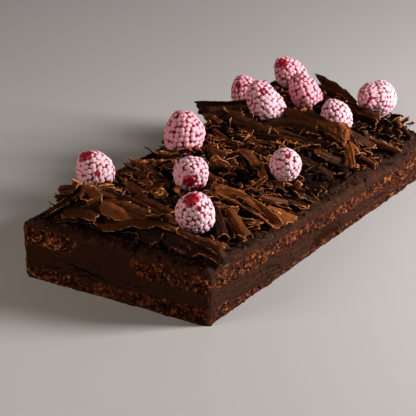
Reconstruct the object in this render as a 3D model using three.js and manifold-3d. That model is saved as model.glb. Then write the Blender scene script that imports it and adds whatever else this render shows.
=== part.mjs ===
// A rectangular chocolate layer cake under a heap of chocolate shavings and eleven frosted
// raspberries. Millimetres, +Z up. +X runs along the cake to its far end, the cut near end is at -X,
// the shown long side is at -Y, and the origin is under the middle of the object, where it stands.
//
// The cake is four solids that lie on each other: a base sponge, a mousse layer, an upper sponge and
// the ganache. Each reaches from one interface surface to the next, and an interface is a set of rings
// of the plan's outline. The long side at -Y has slumped, so the interfaces come down towards it.
import * as THREE from "three";
import { mergeVertices } from "three/addons/utils/BufferGeometryUtils.js";
import Module from "manifold-3d";

const wasm = await Module();
wasm.setup();
const { Manifold } = wasm;

// ---- Driving dimensions, mm ----
const LENGTH = 250; // of the shown long side
const WIDTH = 120;
const SKEW = 10; // the near end is cut out of square: its left corner lies this much further out
const CORNER = 4; // radius of the upright corners
const LEVELS = [0, 10.3, 19.8, 30.2, 34.5]; // the interfaces in the middle of the cake
const SLOPE_IN = 26; // how far in from the outline an interface is level
const GAP = 0.4; // between neighbours that lie on each other
const HEAP_INSET = 8; // from the outline to the foot of the heap
const HEAP_RISE = 5; // of the heap's core above the ganache
const CURL_THICKNESS = 0.9;

// The interfaces' heights at the outline, from the base up: at the four corners, and along the
// shown long side as pairs of distance from the near end and height.
const CORNER_HEIGHTS = {
  nearRight: [0, 10.6, 18.6, 29.4, 33.8],
  nearLeft: [0, 7.8, 17, 32, 34.3],
  farLeft: [0, 9, 18.5, 30.5, 34],
  farRight: [0, 7, 12.5, 20, 25],
};
const SLUMP = [
  [[0, 0], [1, 0]],
  [[0, 10.6], [32, 4.4], [70, 3], [100, 3], [135, 3], [160, 5], [210, 6], [250, 7]],
  [[0, 18.6], [26, 15.8], [70, 14.6], [100, 13], [128, 11.4], [155, 10.2], [200, 10], [250, 12.5]],
  [[0, 29.4], [26, 27], [68, 24.6], [90, 23], [128, 19.6], [176, 17.4], [210, 17.4], [250, 20]],
  [[0, 33.8], [26, 32.4], [68, 28.6], [100, 27], [128, 25.4], [165, 23.6], [210, 22.4], [250, 25]],
];
// A wedge-shaped hollow between base and mousse in the shown long side.
const HOLLOW = { at: 121, halfLength: 19, depth: 5 };

// The stations that the rings share, on each side and each corner.
const STATIONS = { right: 24, far: 7, left: 11, near: 13, corner: 2 };

// ---- Seeded variation ----
const fraction = (v) => v - Math.floor(v);
const hash = (i, j, seed) => fraction(Math.sin(i * 127.1 + j * 311.7 + seed * 74.7) * 43758.5453);
const ease = (t) => t * t * (3 - 2 * t);
const mix = (a, b, t) => a + (b - a) * t;
const clamp = (v, low, high) => Math.min(high, Math.max(low, v));
const radians = (degrees) => (degrees * Math.PI) / 180;

// Smooth noise from -1 to 1: hashed values at whole numbers, eased between them.
function noise(x, y, seed) {
  const i = Math.floor(x);
  const j = Math.floor(y);
  const u = ease(x - i);
  const v = ease(y - j);
  const low = mix(hash(i, j, seed), hash(i + 1, j, seed), u);
  const high = mix(hash(i, j + 1, seed), hash(i + 1, j + 1, seed), u);
  return 2 * mix(low, high, v) - 1;
}

// The height at a distance along a list of pairs, straight between them.
function along(pairs, distance) {
  for (let k = 1; k < pairs.length; k++) {
    const [d0, z0] = pairs[k - 1];
    const [d1, z1] = pairs[k];
    if (distance <= d1 || k === pairs.length - 1)
      return mix(z0, z1, clamp((distance - d0) / (d1 - d0), 0, 1));
  }
}

// ---- The plan ----
// The near end's slant, as a shift along X that fades out towards the far end.
const slant = (x, y) => -SKEW * (y / WIDTH + 0.5) * (0.5 - x / LENGTH);

// One ring of stations round the plan, anticlockwise from the near right corner, at an inset from the
// outline. A station has its place, its outward direction, its side, how far along that side it is
// from 0 to 1, and the distance walked.
function ring(inset) {
  const radius = Math.max(CORNER - inset, 1);
  const halfLength = LENGTH / 2 - inset - radius;
  const halfWidth = WIDTH / 2 - inset - radius;
  const turns = [
    ["right", -halfLength, -halfWidth, halfLength, -halfWidth, -90],
    ["far", halfLength, -halfWidth, halfLength, halfWidth, 0],
    ["left", halfLength, halfWidth, -halfLength, halfWidth, 90],
    ["near", -halfLength, halfWidth, -halfLength, -halfWidth, 180],
  ];
  const stations = [];
  const add = (side, t, x, y, angle) => {
    const out = [Math.cos(radians(angle)), Math.sin(radians(angle))];
    const px = x + radius * out[0];
    const py = y + radius * out[1];
    stations.push({ side, t, x: px + slant(px, py), y: py, out });
  };
  for (const [side, x0, y0, x1, y1, angle] of turns) {
    const count = STATIONS[side];
    for (let k = 0; k <= count; k++) {
      const t = k / count;
      add(side, t, mix(x0, x1, t), mix(y0, y1, t), angle);
    }
    for (let k = 1; k <= STATIONS.corner; k++)
      add(side, 1, x1, y1, angle + (90 * k) / (STATIONS.corner + 1));
  }
  return stations;
}

const OUTLINE = ring(0);
const COUNT = OUTLINE.length;
let walked = 0;
OUTLINE.forEach((station, k) => {
  const before = OUTLINE[Math.max(k - 1, 0)];
  walked += Math.hypot(station.x - before.x, station.y - before.y);
  station.walked = walked;
});

// An interface's height at the outline.
function edgeHeight(level, { side, t }) {
  const { nearRight, farRight, farLeft, nearLeft } = CORNER_HEIGHTS;
  if (side === "right") return along(SLUMP[level], t * LENGTH);
  if (side === "far") return mix(farRight[level], farLeft[level], t);
  if (side === "left") return mix(farLeft[level], nearLeft[level], t);
  return mix(nearLeft[level], nearRight[level], t);
}

// How far a cut side stands in or out: the knife's slow wave, and crumb where the layer is sponge. The
// knife has smeared the middle of the near end smooth.
const KNIFE_WAVE = { height: 0.5, along: 38, up: 30 };
const CRUMB = { along: 6.5, up: 3.1, sunk: 0.4 };
const SMEAR = { from: 0.2, to: 0.66, left: 0.25 };
function relief({ side, t, walked: way }, z, crumb) {
  const wave = KNIFE_WAVE.height * noise(way / KNIFE_WAVE.along, z / KNIFE_WAVE.up, 3);
  const crumbs = crumb * noise(way / CRUMB.along, z / CRUMB.up, 11);
  const smeared = side === "near" && t > SMEAR.from && t < SMEAR.to;
  return wave + crumbs * (smeared ? SMEAR.left : 1) - CRUMB.sunk;
}

// The hollow's depth at a station of the shown side.
function hollow({ side, t }) {
  if (side !== "right") return 0;
  const away = (t * LENGTH - HOLLOW.at) / HOLLOW.halfLength;
  return HOLLOW.depth * Math.max(0, 1 - away * away);
}

// A ring of an interface, moved by its relief at the outline.
function interfaceRing(level, inset, lift) {
  const fade = 1 - ease(clamp(inset / SLOPE_IN, 0, 1));
  return ring(inset).map((place, k) => {
    const station = OUTLINE[k];
    const edge = edgeHeight(level, station);
    const z = mix(LEVELS[level], edge, fade) + lift;
    const move = (relief(station, edge, 0) - (level === 1 ? hollow(station) : 0)) * fade;
    return [place.x + place.out[0] * move, place.y + place.out[1] * move, level === 0 ? lift : z];
  });
}

// ---- Solids from rings ----
function solidOf(vertices, triangles) {
  const geometry = new THREE.BufferGeometry();
  geometry.setAttribute("position", new THREE.Float32BufferAttribute(vertices.flat(), 3));
  geometry.setIndex(triangles.flat());
  const merged = mergeVertices(geometry, 1e-4);
  const made = (indices) =>
    new Manifold(
      new wasm.Mesh({ numProp: 3, vertProperties: merged.attributes.position.array, triVerts: indices }),
    );
  const indices = new Uint32Array(merged.index.array);
  const solid = made(indices);
  return solid.volume() > 0 ? solid : made(indices.reverse());
}

const average = (points) =>
  [0, 1, 2].map((axis) => points.reduce((sum, point) => sum + point[axis], 0) / points.length);

// A closed solid through a stack of rings of equal length, each end closed by a fan.
function loft(rings) {
  const size = rings[0].length;
  const vertices = rings.flat();
  const triangles = [];
  for (let r = 0; r + 1 < rings.length; r++)
    for (let k = 0; k < size; k++) {
      const a = r * size + k;
      const b = r * size + ((k + 1) % size);
      triangles.push([a, b, b + size], [a, b + size, a + size]);
    }
  const bottom = vertices.push(average(rings[0])) - 1;
  const top = vertices.push(average(rings[rings.length - 1])) - 1;
  const last = (rings.length - 1) * size;
  for (let k = 0; k < size; k++) {
    const next = (k + 1) % size;
    triangles.push([bottom, next, k], [top, last + k, last + next]);
  }
  return solidOf(vertices, triangles);
}

// The rows of a cut side between two interfaces.
function sideRows(level, rows, crumb, from, to) {
  const made = [];
  for (let r = 1; r < rows; r++) {
    const t = r / rows;
    made.push(
      OUTLINE.map((station, k) => {
        const z = mix(from[k][2], to[k][2], t);
        const shares = [0.5 * t * t, 1 - t, 0]; // of the hollow, in the layers under, at and over it
        const move = relief(station, z, crumb) - hollow(station) * shares[level];
        return [station.x + station.out[0] * move, station.y + station.out[1] * move, z];
      }),
    );
  }
  return made;
}

// A layer of the cake: its lower interface from the middle out, its cut side, and its upper interface
// from the outline in.
function layer(level, rows, crumb) {
  const lift = GAP / 2;
  const insets = level < 2 ? [0, 8] : [0, 9, SLOPE_IN];
  const lowInsets = level === 0 ? [0] : level < 3 ? [0, 8] : [0, 9, SLOPE_IN];
  const low = lowInsets.map((inset) => interfaceRing(level, inset, level === 0 ? 0 : lift)).reverse();
  const high = insets.map((inset) => interfaceRing(level + 1, inset, -lift));
  return loft([...low, ...sideRows(level, rows, crumb, low[low.length - 1], high[0]), ...high]);
}

// The ganache: it ends in a rounded shoulder, whose rings are a quarter of an ellipse. A margin makes
// the same form larger on all sides, which is the room that it needs.
function ganache(margin) {
  const shoulder = { in: 5, down: 3.2 };
  const lift = GAP / 2 - 3 * margin;
  const low = [SLOPE_IN, 9, -margin].map((inset) => interfaceRing(3, inset, lift));
  const high = [];
  for (const angle of [0, 35, 65, 90]) {
    const inset = shoulder.in * (1 - Math.cos(radians(angle)));
    high.push(interfaceRing(4, inset - margin, shoulder.down * (Math.sin(radians(angle)) - 1) + margin));
  }
  for (const inset of [13, SLOPE_IN]) high.push(interfaceRing(4, inset, margin));
  return loft([...low, ...high]);
}

// The ganache's top, away from its shoulder, at a place in the plan.
function topHeight(x, y) {
  const straight = x - slant(x, y);
  const insets = {
    right: y + WIDTH / 2,
    left: WIDTH / 2 - y,
    far: LENGTH / 2 - straight,
    near: straight + LENGTH / 2,
  };
  const t = {
    right: insets.near / LENGTH,
    left: insets.far / LENGTH,
    far: insets.right / WIDTH,
    near: insets.left / WIDTH,
  };
  const side = Object.keys(insets).reduce((best, name) => (insets[name] < insets[best] ? name : best));
  const fade = 1 - ease(clamp(insets[side] / SLOPE_IN, 0, 1));
  return mix(LEVELS[4], edgeHeight(4, { side, t: t[side] }), fade);
}

// ---- The heap's core ----
// Where the heap stands higher: under the stacked rolls, under the raspberries of the left side, and
// at the far end.
const MOUNDS = [
  { at: [30, 37], rise: 9, radius: 20 },
  { at: [-93, 47], rise: 5, radius: 24 },
  { at: [70, 43], rise: 4.5, radius: 20 },
  { at: [112, 40], rise: 4.5, radius: 20 },
  { at: [95, 0], rise: 5, radius: 26 },
  { at: [56, -12], rise: 4, radius: 18 },
];

// The top of the heap's core: a low uneven mound over the ganache.
function coreTop(x, y) {
  const straight = x - slant(x, y);
  const inset = Math.min(LENGTH / 2 - Math.abs(straight), WIDTH / 2 - Math.abs(y)) - HEAP_INSET;
  const rise = HEAP_RISE * (0.35 + 0.65 * ease(clamp(inset / 16, 0, 1)));
  const mounds = MOUNDS.reduce((sum, { at, rise: high, radius }) => {
    const away = Math.hypot(x - at[0], y - at[1]) / radius;
    return sum + (away < 1 ? high * (1 - away * away) ** 2 : 0);
  }, 0);
  return topHeight(x, y) + rise + mounds + 1.1 * noise(x / 17, y / 17, 21);
}

// ---- The raspberries ----
// Each one's place in the plan, its width and length, and where its tip points: the compass angle
// from +X towards +Y, and the angle up.
const BERRIES = [
  { at: [-80, 51], width: 22, length: 20, compass: 120, up: 68 },
  { at: [-7.5, 39], width: 25, length: 24, compass: 60, up: 84 },
  { at: [-55.5, -0.5], width: 20.5, length: 19.5, compass: 235, up: 24 },
  { at: [-99, -32.5], width: 22, length: 23.5, compass: 200, up: 52 },
  { at: [66, 43.5], width: 19, length: 19.5, compass: 120, up: 70 },
  { at: [53, 21], width: 22.5, length: 27, compass: 110, up: 58 },
  { at: [110, 39], width: 19.5, length: 20, compass: 120, up: 45 },
  { at: [85, 11.5], width: 19.5, length: 20.5, compass: 100, up: 60 },
  { at: [67, -22.5], width: 19, length: 20, compass: 130, up: 65 },
  { at: [103.5, -30], width: 24.5, length: 26, compass: 195, up: 20 },
  { at: [-14, -37.5], width: 19, length: 20, compass: 225, up: 35 },
];
const BERRY_SUNK = 2.5; // into the heap's core
const BERRY_GAP = 0.3; // cut out of the shavings round each berry
const BERRY_CLEARANCE = 0.5; // that a shaving keeps from it

// A berry's radius at a share of its length, from 0 at the open end to 1 at the tip.
function berryRadius(berry, t) {
  const widest = 0.4;
  if (t > widest) return (berry.width / 2) * Math.sqrt(1 - ((t - widest) / (1 - widest)) ** 2) ** 0.9;
  return (berry.width / 2) * (1 - 0.2 * ((widest - t) / widest) ** 2);
}

// The direction of a berry's tip, the turn that brings +Z there, and the berry's middle, which is as
// high as its lowest point needs it to be.
function berryFrame(berry) {
  const compass = radians(berry.compass);
  const up = radians(berry.up);
  const level = Math.cos(up);
  const tip = new THREE.Vector3(level * Math.cos(compass), level * Math.sin(compass), Math.sin(up));
  const turn = new THREE.Quaternion().setFromUnitVectors(new THREE.Vector3(0, 0, 1), tip);
  const lows = [0, 0.1, 0.2, 0.4, 0.6, 0.8].map(
    (t) => (t - 0.5) * berry.length * Math.sin(up) - berryRadius(berry, t) * level,
  );
  const [x, y] = berry.at;
  const middle = new THREE.Vector3(x, y, coreTop(x, y) - BERRY_SUNK - Math.min(...lows));
  return { tip, turn, middle };
}

// The berry's solid: rows round its axis, in which every second vertex of every second row stands out
// as a drupelet. A margin grows it and leaves the drupelets out, for the room that it needs.
function raspberry(berry, seed, margin = 0) {
  const columns = margin ? 10 : 14;
  const rows = margin ? 5 : 8;
  const grow = margin ? 1 / Math.cos(Math.PI / columns) : 1;
  const { turn, middle } = berryFrame(berry);
  const rings = [];
  for (let r = 0; r <= rows; r++) {
    const share = 0.02 + 0.95 * Math.sin((Math.PI / 2) * (r / rows)) ** 1.15;
    const open = r === 0 ? -margin : 0;
    const tipped = r === rows ? margin : 0;
    const height = (share - 0.5) * berry.length * (margin ? 1.04 : 1) + open + tipped;
    const points = [];
    for (let c = 0; c < columns; c++) {
      const angle = (2 * Math.PI * c) / columns;
      const standsOut = (c + (r >> 1)) % 2 === 0 && r % 2 === 1;
      const bump = margin ? 0.04 : (standsOut ? 0.035 : -0.045) + 0.02 * (hash(c, r, seed) - 0.5);
      const radius = berryRadius(berry, share) * (1 + bump) * grow + margin;
      const point = new THREE.Vector3(radius * Math.cos(angle), radius * Math.sin(angle), height);
      points.push(point.applyQuaternion(turn).add(middle).toArray());
    }
    rings.push(points);
  }
  return loft(rings);
}

const BERRY_ROOM = BERRIES.map((berry) => ({ ...berryFrame(berry), ...berry }));

// Whether a point is within any berry's room.
function inBerry(point) {
  return BERRY_ROOM.some(({ tip, middle, width, length }) => {
    const away = point.clone().sub(middle);
    const high = away.dot(tip);
    const out = Math.sqrt(Math.max(0, away.lengthSq() - high * high));
    return (high / (length / 2 + BERRY_CLEARANCE)) ** 2 + (out / (width / 2 + BERRY_CLEARANCE)) ** 2 < 1;
  });
}

// ---- The shavings ----
function heapCore() {
  const across = 8;
  const lengthways = 17;
  const place = (u, v, surface) => {
    const x = (LENGTH / 2 - HEAP_INSET) * u;
    const y = (WIDTH / 2 - HEAP_INSET) * v;
    const px = x + slant(x, y);
    return [px, y, surface(px, y)];
  };
  const vertices = [];
  const triangles = [];
  const sunk = (x, y) => topHeight(x, y) - 1.5;
  for (const surface of [coreTop, sunk])
    for (let j = 0; j <= across; j++)
      for (let i = 0; i <= lengthways; i++)
        vertices.push(place((2 * i) / lengthways - 1, (2 * j) / across - 1, surface));
  const size = (lengthways + 1) * (across + 1);
  const at = (i, j) => j * (lengthways + 1) + i;
  for (let j = 0; j < across; j++)
    for (let i = 0; i < lengthways; i++) {
      const [a, b, c, d] = [at(i, j), at(i + 1, j), at(i + 1, j + 1), at(i, j + 1)];
      triangles.push([a, b, c], [a, c, d], [a + size, c + size, b + size], [a + size, d + size, c + size]);
    }
  const wall = (a, b) => triangles.push([a, a + size, b + size], [a, b + size, b]);
  for (let i = 0; i < lengthways; i++) {
    wall(at(i, 0), at(i + 1, 0));
    wall(at(i + 1, across), at(i, across));
  }
  for (let j = 0; j < across; j++) {
    wall(at(lengthways, j), at(lengthways, j + 1));
    wall(at(0, j + 1), at(0, j));
  }
  return solidOf(vertices, triangles);
}

// A shaving is a strip rolled about an axis. "from" and "to" are the axis's ends, each with its height
// over the core, "width" is the strip's, measured round its curl, "turn" is how far it turns over that
// width in degrees, "roll" turns the section about the axis, "bias" moves the curl towards one edge,
// "taper" widens the far end, "bow" lifts the middle, and "rest" is how high the piece lies on others.
const SETTLED = 0.75; // how far a shaving's lowest point is inside the core
const landed = ([x, y, lift]) => [x, y, coreTop(x, y) + lift];
const curl = (from, to, width, turn, roll = 0, { bias = 0, taper = 0, bow = 0, rest = 0 } = {}) => ({
  from: landed(from),
  to: landed(to),
  width,
  turn,
  roll,
  bias,
  taper,
  bow,
  rest,
});

// The ones that stand out on the cake, from the near end to the far end.
const SHOWN_CURLS = [
  // the stack along the near end, whose sheets reach over the rim
  curl([-118, 18, 2.5], [-104, -17, 4.5], 12, -60, -18, { bow: 1 }),
  curl([-105, -14, 4.5], [-109, -60, 2.5], 13, -70, -22, { bow: 1.5 }),
  curl([-114, -10, 1.5], [-112, -55, 0.8], 9, -40, -55),
  curl([-117, 6, 0.6], [-113, -30, 0.6], 8, -60, -35),
  curl([-122, -4, -0.5], [-118, -14, -0.5], 10, 200),
  curl([-120, 26, 1], [-112, 4, 2.5], 11, -110, -10),
  curl([-108, -48, 2], [-117, -63, -0.5], 6, -70, -10),
  // flat pieces and a loop at the near left corner
  curl([-126, 49, 1], [-101, 46, 2], 6, -40, 10),
  curl([-126, 42, 1], [-109, 36, 2.5], 6, -50, -8),
  curl([-123, 37, 1.5], [-117, 25, 2], 10, -60, -30),
  curl([-104, 57, 4], [-100, 45, 3], 15, -280, 20),
  curl([-113, 50, 2.5], [-97, 55, 3], 9, -120, 0),
  curl([-99, 44, 2.5], [-105, 27, 4], 9, -30, -50),
  // the broad half curls behind them
  curl([-109, 24, 2.5], [-107, -9, 2.5], 15, -150, -35, { bias: 0.35, bow: 1.5 }),
  curl([-93, 23, 3], [-100, -12, 3], 14, -170, -10, { taper: -0.2 }),
  curl([-97, 33, 3.5], [-95, 22, 3.5], 11, -260),
  curl([-84, 16, 2], [-92, -14, 2.5], 12, -120, 12),
  // round the raspberry of the near right corner
  curl([-77, -31, 5], [-97, -50, 4], 17, -375, 30, { taper: 0.6 }),
  curl([-81, -39, 3], [-85, -55, 2], 9, -170),
  curl([-73, -38, 3], [-83, -57, 2], 13, -190, 20),
  // the double scroll and its neighbours
  curl([-57, -18, 4], [-57, -61, 2.5], 15, 200, -10, { bow: 1 }),
  curl([-54, -36, 4], [-49, -63, 2], 12, -150, 10),
  curl([-48, -46, 3], [-41, -62, 2], 11, -110, 10, { bias: 0.4 }),
  curl([-45, -38, 3], [-22, -55, 2], 7, -120),
  curl([-34, -24, 3.5], [-23, -36, 3], 10, 170, 0, { rest: -0.5 }),
  curl([-29, -48, 2], [-21, -58, 1.5], 9, -90),
  // the arched strip, and the flakes round it
  curl([2, 6, 2], [-17, -22, 1], 7, -40, 0, { bow: 5 }),
  curl([-8, -6, 2.5], [-23, -17, 2], 9, -60, 30),
  curl([-12, 16, 3], [-10, 5, 3], 14, -200, 20),
  curl([18, 8, 3], [21, -9, 3.5], 10, -60, 25),
  // the stacked rolls at the back, and the long sheet in front of them
  curl([22, 51, 4], [42, 26, 4], 14, -320),
  curl([19, 48, 1.5], [37, 22, 2], 15, -60, -35),
  curl([20, 44, 2], [26, 8, 3.5], 12, -70, -20),
  curl([27, 10, 3.5], [33, -27, 2.5], 9, -170, 0, { bow: 1.5 }),
  // the great roll and the sheet that it is rolled from
  curl([54, 5, 5], [58, -28, 5], 22, -350, 60, { taper: 0.2 }),
  curl([50, 2, 1.5], [46, -38, 2.5], 17, 30, -40),
  curl([38, -3, 2.5], [41, -37, 2], 11, -90),
  curl([58, -32, 2], [54, -47, 2.5], 12, 200, 30),
  curl([43, -43, 8], [40, -48, 0.5], 12, 180, 90),
  curl([31, -26, 3], [30, -41, 2.5], 7, -150),
  curl([21, -37, 2], [40, -54, 1.5], 12, -200, 0, { bias: 0.2 }),
  curl([10, -30, 2], [18, -51, 1.5], 10, -140),
  curl([51, -49, 2.5], [54, -60, 2], 12, -290),
  // the far end
  curl([111, 20, 5], [91, -21, 5], 14, -40, -62, { bow: 2 }),
  curl([89, -4, 4], [94, -13, 4], 9, -200, -20),
  curl([85, -15, 3], [86, -41, 4], 15, 120, -30, { rest: -0.8 }),
  curl([76, -29, 2], [78, -44, 2], 12, -60, -40),
  curl([60, -34, 2], [69, -50, 1.5], 10, -140),
  curl([70, -42, 2.5], [88, -57, 2], 12, 160),
  curl([108, -42, 4], [106, -56, 3], 9, -320, 0, { rest: -0.6 }),
  curl([111, 24, 2], [116, -4, 2], 13, -160),
];

// The rest of the heap, on a jittered grid wherever none of the others lies: across the cake for the
// most part.
const LOOSE_CURLS = { rows: 10, columns: 6, apart: 16, length: [14, 28], width: [7, 13], turn: [70, 230] };

function looseCurls() {
  const { rows, columns, apart, length, width, turn } = LOOSE_CURLS;
  const made = [];
  const taken = SHOWN_CURLS.map(({ from, to }) => [(from[0] + to[0]) / 2, (from[1] + to[1]) / 2]);
  for (let i = 0; i < rows; i++)
    for (let j = 0; j < columns; j++) {
      const random = (n) => hash(i, j, 40 + n);
      const x = (LENGTH / 2 - 18) * ((2 * (i + 0.5 + 0.7 * (random(1) - 0.5))) / rows - 1);
      const y = (WIDTH / 2 - 14) * ((2 * (j + 0.5 + 0.7 * (random(2) - 0.5))) / columns - 1);
      if (taken.some(([px, py]) => Math.hypot(px - x - slant(x, y), py - y) < apart)) continue;
      const compass = radians(-90 + 80 * (random(3) - 0.5));
      const half = mix(...length, random(4)) / 2;
      const strip = mix(...width, random(5));
      const end = (sign) => {
        const ex = x + sign * half * Math.cos(compass);
        const ey = clamp(y + sign * half * Math.sin(compass), 5 - WIDTH / 2, WIDTH / 2 - 5);
        return [ex + slant(ex, ey), ey, 1 + 1.6 * random(6)];
      };
      made.push(curl(end(-1), end(1), strip, -mix(...turn, random(7)), 40 * (random(8) - 0.5)));
    }
  return made;
}

// The middle line of a shaving's section, as places and normals in its own plane: the heading turns
// evenly along the strip, or faster towards one edge, and the steps along it are added up.
function curlSection({ width, turn, roll, bias }, steps) {
  const points = [[0, 0]];
  const headings = [];
  const heading = (s) => radians(roll) + radians(turn) * (s + 2 * bias * (s * s - 1 / 12));
  for (let k = 0; k < steps; k++) {
    const angle = heading((k + 0.5) / steps - 0.5);
    const [p, q] = points[k];
    points.push([p + (width / steps) * Math.cos(angle), q + (width / steps) * Math.sin(angle)]);
  }
  for (let k = 0; k <= steps; k++) headings.push(heading(k / steps - 0.5));
  const centre = [0, 1].map((axis) => points.reduce((sum, point) => sum + point[axis], 0) / points.length);
  return points.map(([p, q], k) => ({
    p: p - centre[0],
    q: q - centre[1],
    normal: [-Math.sin(headings[k]), Math.cos(headings[k])],
  }));
}

// The points of a shaving between two shares of its axis: rows along it, each with an outer and an
// inner point for every step of its section. The ends are broken off unevenly.
function curlPoints(shaving, start, stop, steps, rows, thickness, seed) {
  const from = new THREE.Vector3(...shaving.from);
  const axis = new THREE.Vector3(...shaving.to).sub(from);
  const direction = axis.clone().normalize();
  const side = direction.clone().cross(new THREE.Vector3(0, 0, 1)).normalize();
  const upward = side.clone().cross(direction);
  const section = curlSection(shaving, steps);
  const grid = [];
  for (let r = 0; r <= rows; r++) {
    const line = [];
    section.forEach(({ p, q, normal }, k) => {
      const ragged = (r === 0 ? -1 : r === rows ? 1 : 0) * 0.05 * hash(k, r, seed);
      const t = mix(start, stop, r / rows) + ragged;
      const scale = 1 + shaving.taper * (t - 0.5);
      const middle = from.clone().addScaledVector(axis, t);
      middle.addScaledVector(upward, shaving.bow * Math.sin(Math.PI * clamp(t, 0, 1)));
      for (const face of [0.5, -0.5]) {
        const offset = face * thickness;
        const point = middle.clone().addScaledVector(side, scale * p + offset * normal[0]);
        line.push(point.addScaledVector(upward, scale * q + offset * normal[1]));
      }
    });
    grid.push(line);
  }
  return grid;
}

// A shaving let down, or raised, until its lowest point is just inside the heap's core.
function settled(shaving, seed) {
  const { from, to, rest } = shaving;
  const over = curlPoints(shaving, 0, 1, 4, 4, CURL_THICKNESS, seed).flat();
  const clearance = Math.min(...over.map(({ x, y, z }) => z - coreTop(x, y)));
  const drop = clearance + SETTLED - rest;
  return { ...shaving, from: [from[0], from[1], from[2] - drop], to: [to[0], to[1], to[2] - drop] };
}

// The part of a shaving that is clear of the raspberries: all of it, or shortened at one end.
function clearPart(shaving, seed) {
  for (const cut of [0, 0.12, 0.24, 0.36, 0.48, 0.6])
    for (const [start, stop] of cut ? [[0, 1 - cut], [cut, 1]] : [[0, 1]]) {
      const points = curlPoints(shaving, start, stop, 6, 6, CURL_THICKNESS, seed).flat();
      if (!points.some(inBerry)) return [start, stop];
    }
}

function curlSolid(piece, seed) {
  const shaving = settled(piece, seed);
  const part = clearPart(shaving, seed);
  if (!part) return undefined;
  const steps = clamp(Math.ceil(Math.abs(shaving.turn) / 85), 2, 4);
  const rows = shaving.bow > 1.2 ? 2 : 1;
  const grid = curlPoints(shaving, ...part, steps, rows, CURL_THICKNESS, seed);
  const vertices = grid.flat().map((point) => point.toArray());
  const size = 2 * (steps + 1);
  const triangles = [];
  const quad = (a, b, c, d) => triangles.push([a, b, c], [a, c, d]);
  for (let r = 0; r < rows; r++) {
    const a = r * size;
    const b = a + size;
    for (let k = 0; k < steps; k++) {
      quad(a + 2 * k, b + 2 * k, b + 2 * k + 2, a + 2 * k + 2);
      const [c, d] = [a + 2 * k + 1, b + 2 * k + 1];
      triangles.push([c, d + 2, d], [c, c + 2, d + 2]);
    }
    quad(a + 1, b + 1, b, a);
    quad(a + size - 2, b + size - 2, b + size - 1, a + size - 1);
  }
  for (let k = 0; k < steps; k++) {
    const b = rows * size + 2 * k;
    quad(2 * k, 2 * k + 2, 2 * k + 3, 2 * k + 1);
    quad(b, b + 1, b + 3, b + 2);
  }
  return solidOf(vertices, triangles);
}

// The one solid of a union that is not a scrap or a hollow sealed inside it.
const larger = (best, part) => (part.volume() > best.volume() ? part : best);
const largest = (solid) => solid.decompose().reduce(larger);

function shavings() {
  const pieces = [...SHOWN_CURLS, ...looseCurls()].map(curlSolid).filter(Boolean);
  const heap = Manifold.union([heapCore(), ...pieces]);
  const berries = BERRIES.map((berry, k) => raspberry(berry, k, BERRY_GAP));
  const room = Manifold.union([ganache(GAP), ...berries]);
  return largest(heap.subtract(room));
}

// ---- The object ----
const cake = new THREE.Group();

function addNode(name, solid, finish) {
  const { vertProperties, triVerts } = solid.getMesh();
  const geometry = new THREE.BufferGeometry();
  geometry.setAttribute("position", new THREE.BufferAttribute(new Float32Array(vertProperties), 3));
  geometry.setIndex(new THREE.BufferAttribute(new Uint32Array(triVerts), 1));
  geometry.computeVertexNormals();
  const mesh = new THREE.Mesh(geometry, new THREE.MeshStandardMaterial({ metalness: 0, ...finish }));
  mesh.name = name;
  cake.add(mesh);
}

const SPONGE = { color: 0x2a130b, roughness: 0.95 };
addNode("sponge_base", layer(0, 3, 0.8), SPONGE);
addNode("mousse", layer(1, 2, 0.1), { color: 0x2b160f, roughness: 0.6 });
addNode("sponge_top", layer(2, 3, 0.8), SPONGE);
addNode("ganache", ganache(0), { color: 0x2c1a18, roughness: 0.35 });
addNode("shavings", shavings(), { color: 0x3a1d10, roughness: 0.5 });
BERRIES.forEach((berry, k) => {
  const name = "raspberry_" + String(k + 1).padStart(2, "0");
  addNode(name, raspberry(berry, k), { color: 0xd9a9b4, roughness: 0.8 });
});

// The object's own box decides where the origin is: under its middle, on the surface it stands on.
const box = new THREE.Box3().setFromObject(cake);
const middle = box.getCenter(new THREE.Vector3());
cake.children.forEach((mesh) => mesh.geometry.translate(-middle.x, -middle.y, -box.min.z));

export default cake;
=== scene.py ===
"""A rectangular chocolate layer cake under a heap of chocolate shavings and eleven frosted raspberries.

The shapes are worked out in the cake's own frame, in millimetres: +X runs along the cake to its far
end, the cut near end is at -X and the shown long side at -Y. Each piece is moved to the part's frame,
in metres, when its mesh is made.
"""
import math

import bpy
import numpy as np
from bpy.props import FloatProperty, FloatVectorProperty, IntProperty, PointerProperty
from mathutils import Matrix, Vector


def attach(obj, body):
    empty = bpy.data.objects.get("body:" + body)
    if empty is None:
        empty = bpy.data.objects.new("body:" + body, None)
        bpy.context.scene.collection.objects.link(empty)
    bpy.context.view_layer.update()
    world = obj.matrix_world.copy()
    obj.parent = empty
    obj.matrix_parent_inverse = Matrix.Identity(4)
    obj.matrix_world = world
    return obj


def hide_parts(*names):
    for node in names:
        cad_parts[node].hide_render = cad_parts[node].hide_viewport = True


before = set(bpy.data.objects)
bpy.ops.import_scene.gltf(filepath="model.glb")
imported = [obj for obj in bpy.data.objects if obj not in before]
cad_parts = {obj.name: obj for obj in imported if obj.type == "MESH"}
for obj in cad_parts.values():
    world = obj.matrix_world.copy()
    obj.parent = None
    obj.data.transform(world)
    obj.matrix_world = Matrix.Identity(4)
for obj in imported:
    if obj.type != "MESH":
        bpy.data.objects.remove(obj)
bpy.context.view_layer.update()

bl_info = {
    "name": "Chocolate cake with shavings and raspberries",
    "version": (1, 0, 0),
    "blender": (4, 5, 0),
    "location": "View3D > Sidebar > Cake",
    "description": "Builds a chocolate layer cake heaped with shavings and frosted raspberries",
    "category": "Add Mesh",
}

BODY = "root"
MM = 1000.0  # millimetres in a metre

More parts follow.
